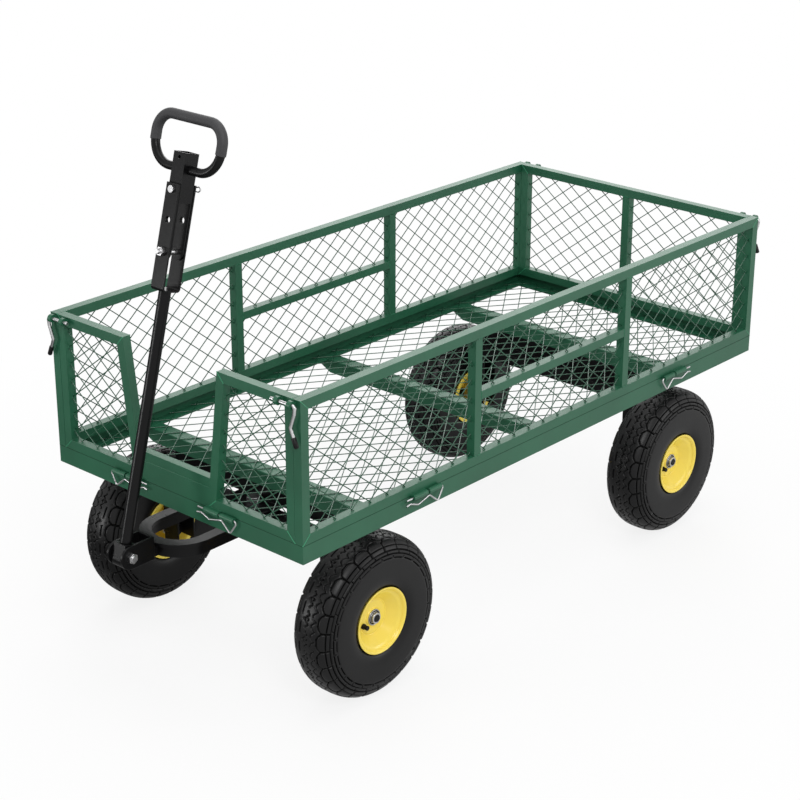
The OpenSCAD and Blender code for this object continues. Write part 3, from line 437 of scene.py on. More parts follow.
def add_piece(name, points, faces, body, slot, replaced=(), smooth_angle=40.0, finish=None):
    """Makes a mesh object from arrays, with its faces outward, and finishes it"""
    mesh = bpy.data.meshes.new(name)
    mesh.from_pydata(points.tolist(), [], [list(face) for face in faces])
    shell = bmesh.new()
    shell.from_mesh(mesh)
    bmesh.ops.recalc_face_normals(shell, faces=shell.faces)
    shell.to_mesh(mesh)
    shell.free()
    piece = bpy.data.objects.new(name, mesh)
    bpy.context.scene.collection.objects.link(piece)
    finish_piece(piece, body, slot, replaced, smooth_angle, finish)
    return piece


def finish_piece(piece, body, slot, replaced, smooth_angle, finish=None):
    """Shading, material, body and replaced nodes of a new piece.

    The finish is the slot's own, unless another one is named.
    """
    piece.data.shade_smooth()
    piece.data.set_sharp_from_angle(angle=math.radians(smooth_angle))
    piece.data.materials.clear()
    piece.data.materials.append(finish_of(finish or slot))
    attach(piece, body)
    if replaced:
        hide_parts(*replaced)


def body_of_node(node):
    """The body that a CAD node rides on"""
    return NODES[node]["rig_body"]


def tidy_copy(node, slot, width=0.0):
    """A copy of a CAD node, merged into clean faces, with its hard edges rounded by width"""
    mesh = NODES[node].data.copy()
    mesh.name = node + "_dressed"
    shell = bmesh.new()
    shell.from_mesh(mesh)
    bmesh.ops.remove_doubles(shell, verts=shell.verts, dist=MERGE_DISTANCE)
    bmesh.ops.dissolve_limit(shell, angle_limit=FLAT_ANGLE, verts=shell.verts, edges=shell.edges)
    shell.to_mesh(mesh)
    shell.free()
    piece = bpy.data.objects.new(node + "_dressed", mesh)
    bpy.context.scene.collection.objects.link(piece)
    finish_piece(piece, body_of_node(node), slot, [node], 35.0)
    if width > 0:
        round_edges(piece, width)
    return piece


def round_edges(piece, width):
    """Rounds the hard edges and keeps the flat faces beside them flat"""
    bevel = piece.modifiers.new("rounded edges", "BEVEL")
    bevel.width = width
    bevel.segments = 2
    bevel.limit_method = "ANGLE"
    bevel.angle_limit = HARD_ANGLE
    bevel.use_clamp_overlap = True
    weighted = piece.modifiers.new("flat faces", "WEIGHTED_NORMAL")
    weighted.mode = "FACE_AREA"
    weighted.weight = 60
    weighted.keep_sharp = True


def taper_ends(piece, start):
    """Slants the cross members' lower edges from start outward, up to the deck's lower edge"""
    shell = bmesh.new()
    shell.from_mesh(piece.data)
    for x in (-start, start):
        bmesh.ops.bisect_plane(shell, geom=shell.verts[:] + shell.edges[:] + shell.faces[:],
                               plane_co=(x, 0, 0), plane_no=(1, 0, 0))
    for corner in shell.verts:
        if abs(corner.co.x) > start + 0.001:
            corner.co.z = max(corner.co.z, TRAY_LOW)
    shell.to_mesh(piece.data)
    shell.free()


def revolve(profile, steps):
    """A closed ring of revolution: the profile's (radius, height) points turned about Z.

    Point (i, j) is radius_i * (cos a_j, sin a_j) and height_i, with a_j = 2 pi j / steps.
    """
    turn = np.linspace(0, 2 * np.pi, steps, endpoint=False)
    radius, height = profile[:, 0][:, None], profile[:, 1][:, None]
    points = np.stack([radius * np.cos(turn), radius * np.sin(turn),
                       np.broadcast_to(height, (len(profile), steps))], axis=-1)
    return points.reshape(-1, 3)


def turned(profile, start, end, steps):
    """A rod turned about the line from start to end, from (distance, radius) points.

    Ring i is start + distance_i along + radius_i (cos a across + sin a up), and the two end
    rings are closed by flat faces.
    """
    start, along = np.asarray(start, float), np.asarray(end, float) - start
    along /= np.linalg.norm(along)
    across = np.cross(along, [1.0, 0, 0] if abs(along[0]) < 0.9 else [0, 1.0, 0])
    across /= np.linalg.norm(across)
    turn = np.linspace(0, 2 * np.pi, steps, endpoint=False)
    circle = np.outer(np.cos(turn), across) + np.outer(np.sin(turn), np.cross(along, across))
    profile = np.asarray(profile, float)
    points = start + profile[:, :1, None] * along + profile[:, 1:, None] * circle
    faces = grid_faces(len(profile), steps, close_rows=False).tolist()
    last = (len(profile) - 1) * steps
    faces += [list(range(steps))[::-1], [last + j for j in range(steps)]]
    return points.reshape(-1, 3), faces


def grid_faces(rows, columns, close_rows=True):
    """Quads of a grid of rows by columns points, closed on itself round its columns"""
    i = np.arange(rows if close_rows else rows - 1)[:, None]
    j = np.arange(columns)[None, :]
    a = i * columns + j
    b = i * columns + (j + 1) % columns
    c = (i + 1) % rows * columns + (j + 1) % columns
    d = (i + 1) % rows * columns + j
    return np.stack([a, b, c, d], axis=-1).reshape(-1, 4)


def joined(parts):
    """Several (points, faces) pairs as one"""
    points, faces, offset = [], [], 0
    for part_points, part_faces in parts:
        points.append(part_points)
        faces.extend([[corner + offset for corner in face] for face in part_faces])
        offset += len(part_points)
    return np.concatenate(points), faces


# ---------- wire mesh ----------

# Faces round a wire, and the length below which a piece of wire is left out
WIRE_SIDES = 8
SHORTEST_WIRE = 0.003
# Height of one crossing of a sheet above its lower rail
FRONT_CROSSING, REAR_CROSSING, SIDE_CROSSING = 0.0014, 0.0178, 0.0172
# Height of the floor mesh's middle in the tray
FLOOR_MIDDLE = 0.0137


def crossing_wires(window, pitch, crossing, slope):
    """The straight wires of one direction, cut to a convex window.

    Wire k runs through crossing + (k pitch_u, 0) with the slope of the diamond. Each window
    edge keeps the part of the wire on its inner side, so the wire's range of parameters is
    the overlap of all the half lines.
    """
    step = np.array([pitch[0], slope * pitch[1]]) / math.hypot(*pitch)
    corners = np.asarray(window, float)
    reach = np.ptp(corners, axis=0).sum()
    count = int(reach / pitch[0]) + 2
    middle = round((corners[:, 0].mean() - crossing[0]) / pitch[0])
    numbers = np.arange(middle - count, middle + count + 1)
    starts = np.array(crossing) + np.outer(numbers, [pitch[0], 0])
    low, high = np.full(len(starts), -np.inf), np.full(len(starts), np.inf)
    for a, b in zip(corners, np.roll(corners, -1, 0)):
        inward = np.array([a[1] - b[1], b[0] - a[0]])
        level = (a - starts) @ inward
        rate = step @ inward
        at = level / rate
        low = np.maximum(low, at) if rate > 0 else low
        high = np.minimum(high, at) if rate < 0 else high
    kept = high - low > SHORTEST_WIRE
    return starts[kept] + np.outer(low[kept], step), starts[kept] + np.outer(high[kept], step)


def wire_tubes(starts, ends, radius):
    """Round rods between pairs of points in space, with flat closed ends.

    A rod's ring is start + radius (cos a * across + sin a * up), where across and up are
    square to the rod, and its far ring is the same about the end.
    """
    along = ends - starts
    along = along / np.linalg.norm(along, axis=1, keepdims=True)
    helper = np.where(np.abs(along[:, 2:3]) > 0.9, [[1.0, 0, 0]], [[0, 0, 1.0]])
    across = np.cross(along, helper)
    across = across / np.linalg.norm(across, axis=1, keepdims=True)
    up = np.cross(along, across)
    sides = WIRE_SIDES
    turn = np.linspace(0, 2 * np.pi, sides, endpoint=False)
    ring = radius * (np.cos(turn)[None, :, None] * across[:, None]
                     + np.sin(turn)[None, :, None] * up[:, None])
    points = np.stack([starts[:, None] + ring, ends[:, None] + ring], axis=1)
    base = (np.arange(len(starts)) * 2 * sides)[:, None]
    j = np.arange(sides)[None]
    k = (j + 1) % sides
    walls = np.stack([base + j, base + k, base + sides + k, base + sides + j], -1).reshape(-1, 4)
    near = base + np.arange(sides)[::-1]
    far = base + sides + np.arange(sides)
    faces = walls.tolist() + near.tolist() + far.tolist()
    return points.reshape(-1, 3), faces


def mesh_sheet(windows, pitch, crossing, wires, place):
    """Two layers of crossing wires in flat windows; place turns (u, v, w) into space"""
    parts = []
    for window in windows:
        for layer, slope in ((-1, 1), (1, -1)):
            a, b = crossing_wires(window, pitch, crossing, slope)
            step = (b - a) / np.linalg.norm(b - a, axis=1, keepdims=True) * wires.bury
            depth = np.full((len(a), 1), layer * wires.layer)
            start = place(np.hstack([a - step, depth]))
            end = place(np.hstack([b + step, depth]))
            parts.append(wire_tubes(start, end, wires.radius))
    return joined(parts)


def rectangle(u, v):
    """Corners of a window, counterclockwise"""
    return [(u[0], v[0]), (u[1], v[0]), (u[1], v[1]), (u[0], v[1])]


def inner_heights(tray):
    """Height of the lower rail's top and of the top rail's underside in the tray"""
    return tray.wall + tray.tube, tray.wall + tray.side - tray.tube


def slant(tray, z):
    """Centre of a slanted post at height z, sideways from the middle"""
    slot_z = tray.wall + tray.sill + tray.tube
    return tray.slot_half + tray.slot_lean * (z - slot_z)


def front_windows(tray):
    """The two openings beside the slanted posts, as corners (u, v)"""
    low, high = inner_heights(tray)
    post = tray.tube / 2 * math.sqrt(1 + tray.slot_lean ** 2)
    outer = tray.width / 2 - 2 * tray.tube - tray.side_gap
    right = [(slant(tray, low) + post, low), (outer, low), (outer, high),
             (slant(tray, high) + post, high)]
    left = [(-u, v) for u, v in right[::-1]]
    return [right, left]


def rear_windows(tray):
    """The two openings beside the rear post"""
    low, high = inner_heights(tray)
    outer = tray.width / 2 - 2 * tray.tube - tray.side_gap
    post, half = -tray.rear_post, tray.tube / 2
    return [rectangle((-outer, post - half), (low, high)),
            rectangle((post + half, outer), (low, high))]


def side_windows(tray):
    """The four openings between a side's posts and round its mid rail"""
    low, high = inner_heights(tray)
    near, far = (tray.length - tray.mid_span) / 2, (tray.length + tray.mid_span) / 2
    half = tray.tube / 2
    mid = tray.wall + tray.mid_rail
    return [rectangle((tray.tube, near - half), (low, high)),
            rectangle((near + half, far - half), (low, mid)),
            rectangle((near + half, far - half), (mid + tray.mid_rail_h, high)),
            rectangle((far + half, tray.length - tray.tube), (low, high))]


def end_place(y):
    """Turns (u, v, w) into a point of an end panel whose middle is at y"""
    return lambda p: np.stack([p[:, 0], TRAY_FRONT + y - p[:, 2], TRAY_LOW + p[:, 1]], -1)


def side_place(x):
    """Turns (u, v, w) into a point of a side panel whose middle is at x"""
    return lambda p: np.stack([x + p[:, 2], TRAY_FRONT + p[:, 0], TRAY_LOW + p[:, 1]], -1)


def floor_place(z):
    """Turns (u, v, w) into a point of the floor at height z"""
    return lambda p: np.stack([p[:, 0], TRAY_FRONT + p[:, 1], TRAY_LOW + z + p[:, 2]], -1)


# ---------- welds ----------

# A mitre's length is below the tube's thickness times this
MITRE_REACH = 1.6
# How far the weld beads are sunk, over both faces, and how far the dark rod of painted seam shade
# along the deck's edge stands out
BEAD_SUNK = 0.0007
EDGE_PROUD = 0.0003


def weld_lines(tray, outer, windows, depth):
    """Weld beads of a panel, as pairs of (u, v, w) points.

    A mitre bead runs from each corner of the panel to the nearest window corner, on both
    faces. Where a window corner has no panel corner near it, a post meets a rail, and the
    bead runs across the post's end to the next window's corner.
    """
    near = tray.tube * MITRE_REACH
    starts, ends = [], []
    for face in (-depth / 2, depth / 2):
        for window in windows:
            for corner in window:
                reach = [math.dist(corner, other) for other in outer]
                if min(reach) < near:
                    starts.append((*corner, face))
                    ends.append((*outer[int(np.argmin(reach))], face))
                else:
                    others = [c for w in windows if w is not window for c in w]
                    gaps = [math.dist(corner, other) for other in others]
                    if min(gaps) < near * MITRE_REACH:
                        starts.append((*corner, face))
                        ends.append((*others[int(np.argmin(gaps))], face))
    return np.array(starts), np.array(ends)


def deck_edge(tray):
    """A thin rod along the top of the deck's wall, standing out a little, as starts and ends;
    painted dark, it draws the painted shade of the seam under the folding sides
    """
    inset = tray.bead - EDGE_PROUD
    x, z = tray.width / 2 - inset, TRAY_LOW + tray.wall - inset
    y = (TRAY_FRONT + inset, TRAY_FRONT + tray.length - inset)
    corners = np.array([(-x, y[0], z), (x, y[0], z), (x, y[1], z), (-x, y[1], z)])
    return corners, np.roll(corners, -1, 0)


# ---------- wheels ----------

# Length of one tread block round the tyre, in millimetres, the points along it, and how much
# of a block each wheel's tread is turned from the last one's
BLOCK_PITCH = 32.8
BLOCK_STEPS = 28
TREAD_SHIFT = 0.23
# Points of a tyre's half section as first drawn. How far the tread reaches down the side, and
# the points kept over it and below it
SECTION_STEPS = 400
TREAD_REACH, TREAD_STEPS, WALL_STEPS = 0.062, 50, 9
# Radius at which the tyre meets the rim and its pull inward there. Half of its inner width
# and its inner face's distance above its bead
SEAT_RADIUS, SEAT_PULL = 0.0566, 0.0044
INNER_HALF, INNER_GAP = 0.022, 0.0003
# Faces round a rim and round a seal, and the rounding of a rim's folds
RIM_STEPS, SEAL_STEPS = 144, 64
FOLD_REACH = 0.0014
# Radii of a bearing's seal and, for each of the two, its inner and outer face, in millimetres
SEAL_RADII = (9.7, 11.7)
SEAL_FACES = ((20.2, 20.6), (-33.6, -33.2))


def soft_line(distance, half_width):
    """1 on a line, falling smoothly to 0 at half_width from it"""
    t = np.clip(1 - np.abs(distance) / half_width, 0, 1)
    return t * t * (3 - 2 * t)


def soft_step(value, edge, blend):
    """0 below an edge and 1 above it, with a smooth blend"""
    t = np.clip((value - edge) / blend + 0.5, 0, 1)
    return t * t * (3 - 2 * t)


def zigzag(t):
    """A triangle wave between -1 and 1, once for each unit of t"""
    return np.abs(t % 1.0 - 0.5) * 4 - 1


def band(value, low, high):
    """1 between two limits and 0 beyond them, with a smooth blend"""
    return soft_step(value, low, 2) * (1 - soft_step(value, high, 2))


def tread_depth(phase, u):
    """Depth of the tread's grooves, in millimetres.

    phase runs from 0 to 1 over one tread block, and u is the distance from the tyre's
    middle along its surface. Each row below is a groove: its depth, the distance from its
    line, its half width and a share for where it runs. It is deep on the line and nothing
    beyond its half width, and the deepest one counts.
    """
    v = (phase % 1.0) * BLOCK_PITCH
    across = np.abs(v - BLOCK_PITCH / 2)
    to_gap = np.minimum(v, BLOCK_PITCH - v)
    side = np.abs(u)
    inner = 21.5 + 8.5 * (across / (BLOCK_PITCH / 2)) ** 3
    grooves = [
        # Gaps between the shoulder's blocks, and the blocks' rounded inner ends
        (4.6, to_gap, 2.3, band(side, 27, 45)),
        (3.6, side - inner, 1.7, 1.0),
        # A dash on each block
        (2.6, side - 36.5, 1.4, soft_step(to_gap, 2.5, 1)),
        # Two rows of bricks below the blocks
        (3.0, side - 44.5, 1.6, 1.0),
        (2.8, side - 50.5, 1.5, 1.0),
        (2.8, v - 5.0, 1.6, band(side, 44.5, 50.5)),
        (2.6, side - 57.0, 1.5, soft_step(np.abs(v - 21), 3, 2)),
        (2.8, v - 21.0, 1.6, band(side, 50.5, 57)),
        # A dash and a zigzag along the crown, and two curved lines beside them
        (4.2, u + 12.0, 2.0, 1 - soft_step(across, 9.5, 2)),
        (3.8, u - 1 - 2.6 * zigzag(v * 4 / BLOCK_PITCH), 1.8, 1 - soft_step(across, 12.5, 2)),
        (3.0, to_gap - 2.4 * np.cos(u / 14 * np.pi), 1.5, band(u, -21, -2)),
        (3.0, u - 10 - 8 * zigzag(v / BLOCK_PITCH) ** 2, 1.6, 1 - soft_step(u, 21, 2)),
    ]
    return np.max([deep * soft_line(line, half) * where
                   for deep, line, half, where in grooves], 0)


def tyre_outline(wheels, steps):
    """Half of the tyre's section from its crown to its bead, as radius and offset.

    Above the widest place it is a superellipse of power 3, and below it the offset falls
    with the fourth power of the distance.
    """
    t = np.linspace(0, np.pi / 2, steps)
    height = wheels.radius - wheels.belly
    upper = np.stack([wheels.belly + height * np.cos(t) ** (2 / 3),
                      wheels.half_width * np.sin(t) ** (2 / 3)], -1)
    drop = np.linspace(0, 1, 12)[1:]
    lower = np.stack([wheels.belly - drop * (wheels.belly - SEAT_RADIUS),
                      wheels.half_width - SEAT_PULL * drop ** 4], -1)
    return np.concatenate([upper, lower])


def spaced_outline(outline, tread, fine, coarse):
    """The outline again, in fine steps of its length over the tread and coarse ones below"""
    run = np.concatenate([[0], np.cumsum(np.linalg.norm(np.diff(outline, axis=0), axis=1))])
    at = np.concatenate([np.linspace(0, tread, fine), np.linspace(tread, run[-1], coarse)[1:]])
    return np.stack([np.interp(at, run, outline[:, k]) for k in (0, 1)], -1), at


def tyre_surface(wheels, phase_shift):
    """The tyre: its section turned about the axle, each point sunk along its normal.

    Point (i, j) is section_i - normal_i * depth(block phase_j, surface distance_i), turned
    by the angle a_j. Two more rings close the tyre inside its beads.
    """
    half, run = spaced_outline(tyre_outline(wheels, SECTION_STEPS), TREAD_REACH, TREAD_STEPS,
                               WALL_STEPS)
    section = np.concatenate([half[::-1] * [1, -1], half[1:]])
    distance = np.concatenate([-run[::-1], run[1:]]) * 1000
    tangent = np.gradient(section, distance, axis=0)
    tangent /= np.linalg.norm(tangent, axis=1, keepdims=True)
    normal = np.stack([tangent[:, 1], -tangent[:, 0]], -1)
    steps = wheels.blocks * BLOCK_STEPS
    turn = np.arange(steps) * 2 * np.pi / steps
    stagger = np.where(distance > 0, 0.5, 0.0)[:, None]
    phase = np.arange(steps)[None, :] / BLOCK_STEPS + phase_shift + stagger
    sink = tread_depth(phase, np.broadcast_to(distance[:, None], phase.shape)) / 1000
    radius = section[:, :1] - normal[:, :1] * sink
    offset = section[:, 1:] - normal[:, 1:] * sink
    inner = wheels.bead + INNER_GAP
    inside = np.array([[inner, INNER_HALF], [inner, -INNER_HALF]])
    radius = np.concatenate([radius, np.broadcast_to(inside[:, :1], (2, steps))])
    offset = np.concatenate([offset, np.broadcast_to(inside[:, 1:], (2, steps))])
    points = np.stack([radius * np.cos(turn), radius * np.sin(turn), offset], -1)
    sunk = np.concatenate([sink, np.zeros((2, steps))]).ravel()
    return points.reshape(-1, 3), grid_faces(len(radius), steps), sunk


def at_wheel(points, end, side):
    """Puts points of a wheel, whose z axis points out of the cart, at a wheel's place"""
    centre = JOINTS[f"wheel_{end}_{side}_roll"]["pos_m"]
    out = OUTWARD[side]
    return np.stack([centre[0] + out * points[:, 2], centre[1] + out * points[:, 1],
                     centre[2] + points[:, 0]], -1)


def rim_profile():
    """Closed section of the rim, from its rolled lip over the dish to the hub, in metres"""
    return 0.001 * np.array([
        [56.0, 38.3], [55.0, 39.0], [53.4, 38.7], [51.6, 37.0], [50.2, 34.4], [48.2, 32.6],
        [45.0, 31.0], [38.0, 23.8], [32.4, 18.2], [30.6, 16.2], [29.2, 16.2], [28.0, 17.6],
        [16.6, 17.6], [15.2, 20.0], [13.6, 20.0], [13.6, 14.6], [24.0, 14.4], [29.5, 14.0],
        [37.0, 19.5], [41.6, 21.0],
        [41.8, -17.0], [47.4, -23.2], [47.6, -38.9], [56.0, -38.9], [56.2, -36.6],
        [50.4, -36.3], [50.2, -22.0], [44.2, -16.0], [44.2, 16.0], [50.2, 22.0], [50.4, 36.3],
        [55.6, 36.6],
    ])


def softened_polygon(corners, reach):
    """A closed profile with each corner rounded by a quadratic curve.

    The curve runs from start to end, a reach away from the corner on either side, as
    (1 - t)^2 start + 2 t (1 - t) corner + t^2 end, with t from 0 to 1 in five points.
    """
    p = np.asarray(corners, float)
    before, after = np.roll(p, 1, 0) - p, np.roll(p, -1, 0) - p
    len_before = np.linalg.norm(before, axis=1, keepdims=True)
    len_after = np.linalg.norm(after, axis=1, keepdims=True)
    start = p + before / len_before * np.minimum(reach, len_before * 0.45)
    end = p + after / len_after * np.minimum(reach, len_after * 0.45)
    t = np.linspace(0, 1, 5)[None, :, None]
    curve = (1 - t) ** 2 * start[:, None] + 2 * t * (1 - t) * p[:, None] + t ** 2 * end[:, None]
    return curve.reshape(-1, 2)


# ---------- operators ----------

# Distance from the middle beyond which the cross members' lower edges slant
CROSS_TAPER = 0.25
# A latch pin's distance from the side's outer face, and the lower end of its lever and a point
# further up it, both from the pin's top
LATCH_INSET = 0.0035
LEVER = ((0.0015, -0.062), (-0.0095, -0.036))
# The dipped tip of that lever, as distances along it and radii
LATCH_TIP = [(-0.0032, 0.0014), (-0.0028, 0.0028), (-0.0018, 0.0036), (-0.0009, 0.0038),
             (0.0132, 0.0038), (0.0138, 0.0033), (0.0139, 0.0026)]
# Each lamp's place, the point that it faces and its size
LAMPS = {
    "overhead": ((0.2, -0.2, 3.2), (0, 0, 0.3), 2.6),
    "key": ((2.6, -1.9, 2.9), (0, 0, 0.3), 1.2),
    "low": ((-1.9, -3.2, 0.45), (0, -0.4, 0.2), 0.8),
    "back": ((-1.9, 2.3, 1.7), (0, 0, 0.4), 2.6),
    "side": ((3.0, 2.0, 0.9), (0, 0, 0.4), 1.6),
}
# The camera's place, and its azimuth, elevation and roll in degrees
CAMERA_PLACE = (2.1554, -2.4158, 1.6542)
CAMERA_TURN = (41.945, 22.45, 0.128)


class CartOperator:
    """What every operator of the cart shares"""

    bl_options = {"REGISTER", "UNDO"}


class CART_OT_mesh(CartOperator, bpy.types.Operator):
    """Make the wire mesh of the floor and the four sides"""

    bl_idname = "cart.wire_mesh"
    bl_label = "Wire mesh"

    def execute(self, context):
        tray, wires = context.scene.cart_tray, context.scene.cart_wires
        low = tray.wall + tray.tube
        middle = tray.tube / 2
        # Each sheet's windows, diamond, one of its crossings and its place
        sheets = {
            "front_mesh": (front_windows(tray), wires.front, (0, low + FRONT_CROSSING),
                           end_place(middle)),
            "rear_mesh": (rear_windows(tray), wires.rear, (0, low + REAR_CROSSING),
                          end_place(tray.length - middle)),
        }
        for side, out in OUTWARD.items():
            sheets[side + "_mesh"] = (side_windows(tray), wires.side,
                                      (tray.length / 2, low + SIDE_CROSSING),
                                      side_place(out * (tray.width / 2 - middle)))
        edge = tray.width / 2 - FLOOR_EDGE
        floor = rectangle((-edge, edge), (FLOOR_EDGE, tray.length - FLOOR_EDGE))
        sheets["deck_mesh"] = ([floor], wires.floor, (0, (tray.length + wires.floor[1]) / 2),
                               floor_place(FLOOR_MIDDLE))
        for node, (windows, pitch, crossing, place) in sheets.items():
            points, faces = mesh_sheet(windows, pitch, crossing, wires, place)
            # The wires' paint is the tube's green darkened as painted shade
            add_piece(node + "_wires", points, faces, body_of_node(node), "green_steel", [node],
                      60, "green_wire")
        return {"FINISHED"}


class CART_OT_welds(CartOperator, bpy.types.Operator):
    """Lay the weld beads on the corners and posts of the folding sides"""

    bl_idname = "cart.welds"
    bl_label = "Welds"

    def execute(self, context):
        tray = context.scene.cart_tray
        middle = tray.tube / 2
        end_u = tray.width / 2 - tray.tube - tray.side_gap
        low, high = tray.wall, tray.wall + tray.side
        post = middle * math.sqrt(1 + tray.slot_lean ** 2)
        front = [(side * u, v) for side in (-1, 1)
                 for u, v in ((end_u, low), (end_u, high), (slant(tray, high) - post, high),
                              (slant(tray, low) - post, low))]
        rear = [(side * end_u, v) for side in (-1, 1) for v in (low, high)]
        sides = [(u, v) for u in (0, tray.length) for v in (low, high)]
        panels = {"front_panel": (front, front_windows(tray), end_place(middle)),
                  "rear_panel": (rear, rear_windows(tray), end_place(tray.length - middle))}
        for side, out in OUTWARD.items():
            panels[side + "_panel"] = (sides, side_windows(tray),
                                       side_place(out * (tray.width / 2 - middle)))
        for node, (outer, windows, place) in panels.items():
            start, end = weld_lines(tray, outer, windows, tray.tube - BEAD_SUNK)
            points, faces = wire_tubes(place(start), place(end), tray.bead)
            # The weld beads' paint is paler than the tube's: a painted highlight along the mitres
            # and post ends
            add_piece(node + "_welds", points, faces, body_of_node(node), "green_steel",
                      finish="green_weld")
        # A thin dark rod along the deck's top edge: painted shade of the seam under the folding
        # sides
        points, faces = wire_tubes(*deck_edge(tray), tray.bead)
        add_piece("deck_edge", points, faces, body_of_node("deck_frame"), "green_steel",
                  finish="green_seam")
        return {"FINISHED"}


class CART_OT_steel(CartOperator, bpy.types.Operator):
    """Round the edges of the welded steel parts and paint them"""

    bl_idname = "cart.welded_steel"
    bl_label = "Welded steel"

    def execute(self, context):
        # How far each piece's edges are rounded
        green = {"deck_frame": 0.0006, "cross_members": 0.0012, "front_panel": 0.0014,
                 "rear_panel": 0.0014, "left_panel": 0.0014, "right_panel": 0.0014}
        black = {"front_bolster": 0.0008, "rear_carrier": 0.0008, "steering_beam": 0.0008,
                 "tongue": 0.0009, "tongue_clevis": 0.0007, "handle_foot": 0.0012,
                 "towing_bracket": 0.0007, "grip_tube": 0.0006, "handle_rod": 0.0006,
                 "rear_axle": 0.0004, "front_axle": 0.0004}
        for node, width in green.items():
            piece = tidy_copy(node, "green_steel", width)
            if node == "cross_members":
                taper_ends(piece, CROSS_TAPER)
        for node, width in black.items():
            tidy_copy(node, "black_steel", width)
        return {"FINISHED"}


class CART_OT_fittings(CartOperator, bpy.types.Operator):
    """Finish the bolts, pins, hinge wires and corner latches"""

    bl_idname = "cart.fittings"
    bl_label = "Pins and bolts"

    def execute(self, context):
        bolts = ["kingpin", "handle_bolt", "grip_pivot_bolt", "hitch_pin"]
        wires = ["r_clip"] + [node for node in NODES if node.startswith(("hinge_pin", "latch_"))]
        for node in bolts:
            tidy_copy(node, "zinc", 0.0005)
        for node in wires:
            tidy_copy(node, "zinc", 0.0)
        for end, side in CORNERS:
            points, faces = latch_tip(context.scene.cart_tray, end, side)
            add_piece(f"latch_tip_{end}_{side}", points, faces,
                      body_of_node(f"latch_{end}_{side}"), "valve_rubber")
        return {"FINISHED"}


def latch_tip(tray, end, side):
    """The dipped tip over the lower end of a latch lever"""
    out = OUTWARD[side]
    y = -tray.latch_out if end == "front" else tray.length + tray.latch_out
    top = tray.wall + tray.side - tray.latch_drop
    at = [(out * (tray.width / 2 - LATCH_INSET + u), TRAY_FRONT + y, TRAY_LOW + top + v)
          for u, v in LEVER]
    return turned(LATCH_TIP, *at, 24)


class CART_OT_grip(CartOperator, bpy.types.Operator):
    """Finish the grip's loop and its foam sleeve"""

    bl_idname = "cart.grip"
    bl_label = "Grip"

    def execute(self, context):
        tidy_copy("grip_loop", "black_steel", 0.0)
        tidy_copy("grip_sleeve", "foam", 0.0005)
        return {"FINISHED"}


class CART_OT_wheels(CartOperator, bpy.types.Operator):
    """Make the tyres, rims, hubs and valves"""

    bl_idname = "cart.wheels"
    bl_label = "Wheels"

    def execute(self, context):
        wheels = context.scene.cart_wheels
        rim = softened_polygon(rim_profile(), FOLD_REACH)
        for number, (end, side) in enumerate(CORNERS):
            body = f"wheel_{end}_{side}"
            points, faces, sunk = tyre_surface(wheels, TREAD_SHIFT * number)
            tyre = add_piece("tyre_tread_" + body, at_wheel(points, end, side), faces, body,
                             "tyre", [f"tyre_{end}_{side}"], 50)
            depth = tyre.data.attributes.new("sunk", "FLOAT", "POINT")
            depth.data.foreach_set("value", sunk * 1000)
            ring = at_wheel(revolve(rim, RIM_STEPS), end, side)
            add_piece("rim_shell_" + body, ring, grid_faces(len(rim), RIM_STEPS), body,
                      "yellow_steel", [f"rim_{end}_{side}"], 40)
            tidy_copy(f"bearings_{end}_{side}", "zinc", 0.0004)
            points, faces = joined([(revolve(0.001 * np.array(rectangle(SEAL_RADII, z)),
                                             SEAL_STEPS), grid_faces(4, SEAL_STEPS))
                                    for z in SEAL_FACES])
            add_piece("bearing_seals_" + body, at_wheel(points, end, side), faces, body,
                      "valve_rubber")
            tidy_copy(f"valve_{end}_{side}", "valve_rubber", 0.0006)
        tidy_copy("front_wheel_nuts", "zinc", 0.0005)
        tidy_copy("rear_wheel_nuts", "zinc", 0.0005)
        return {"FINISHED"}


class CART_OT_stage(CartOperator, bpy.types.Operator):
    """Set up the floor, the lamps and the camera"""

    bl_idname = "cart.stage"
    bl_label = "Stage"

    def execute(self, context):
        scene = context.scene
        stage = scene.cart_stage
        scene.view_settings.view_transform = "Standard"
        add_floor()
        add_world(scene, stage.ambient)
        for name, (place, target, size) in LAMPS.items():
            add_lamp(name + "_lamp", place, target, size, getattr(stage, name))
        add_camera(scene, stage.lens)
        return {"FINISHED"}


def add_floor():
    """A wide pale floor.

    The camera sees it as white far out and a little darker by the cart, and gloss sees it
    as white on the cart's right and as dark on its left.
    """
    mesh = bpy.data.meshes.new("floor")
    reach, low = (-30.0, 30.0), -0.0002
    mesh.from_pydata([(*corner, low) for corner in rectangle(reach, reach)], [], [[0, 1, 2, 3]])
    floor = bpy.data.objects.new("floor", mesh)
    bpy.context.scene.collection.objects.link(floor)
    nodes = Nodes("pale_floor")
    nodes.fixed(Base_Color=(0.86, 0.86, 0.86, 1))
    nodes.rough(nodes.number(nodes.noise(3.0), 0.85, 0.95))
    path = nodes.add("ShaderNodeLightPath")
    gloss = path.outputs["Is Glossy Ray"]
    across = nodes.add("ShaderNodeSeparateXYZ", {0: nodes.place}).outputs["X"]
    dark = nodes.maths("MULTIPLY", gloss, nodes.number(across, 0.9, 0.0, -0.5, 0.8))
    glow = nodes.add("ShaderNodeEmission", {"Strength": nodes.maths("SUBTRACT", 1.0, dark)})
    away = nodes.add("ShaderNodeVectorMath", {0: nodes.place}, operation="LENGTH")
    far = nodes.number(away.outputs["Value"], 0.84, 1.0, 0.6, 1.35)
    seen = nodes.maths("MULTIPLY", path.outputs["Is Camera Ray"], far)
    share = nodes.maths("MAXIMUM", gloss, seen)
    mix = nodes.add("ShaderNodeMixShader", {0: share, 1: nodes.shader.outputs[0],
                                            2: glow.outputs[0]})
    output = nodes.tree.nodes["Material Output"]
    nodes.tree.links.new(mix.outputs[0], output.inputs["Surface"])
    mesh.materials.append(nodes.material)


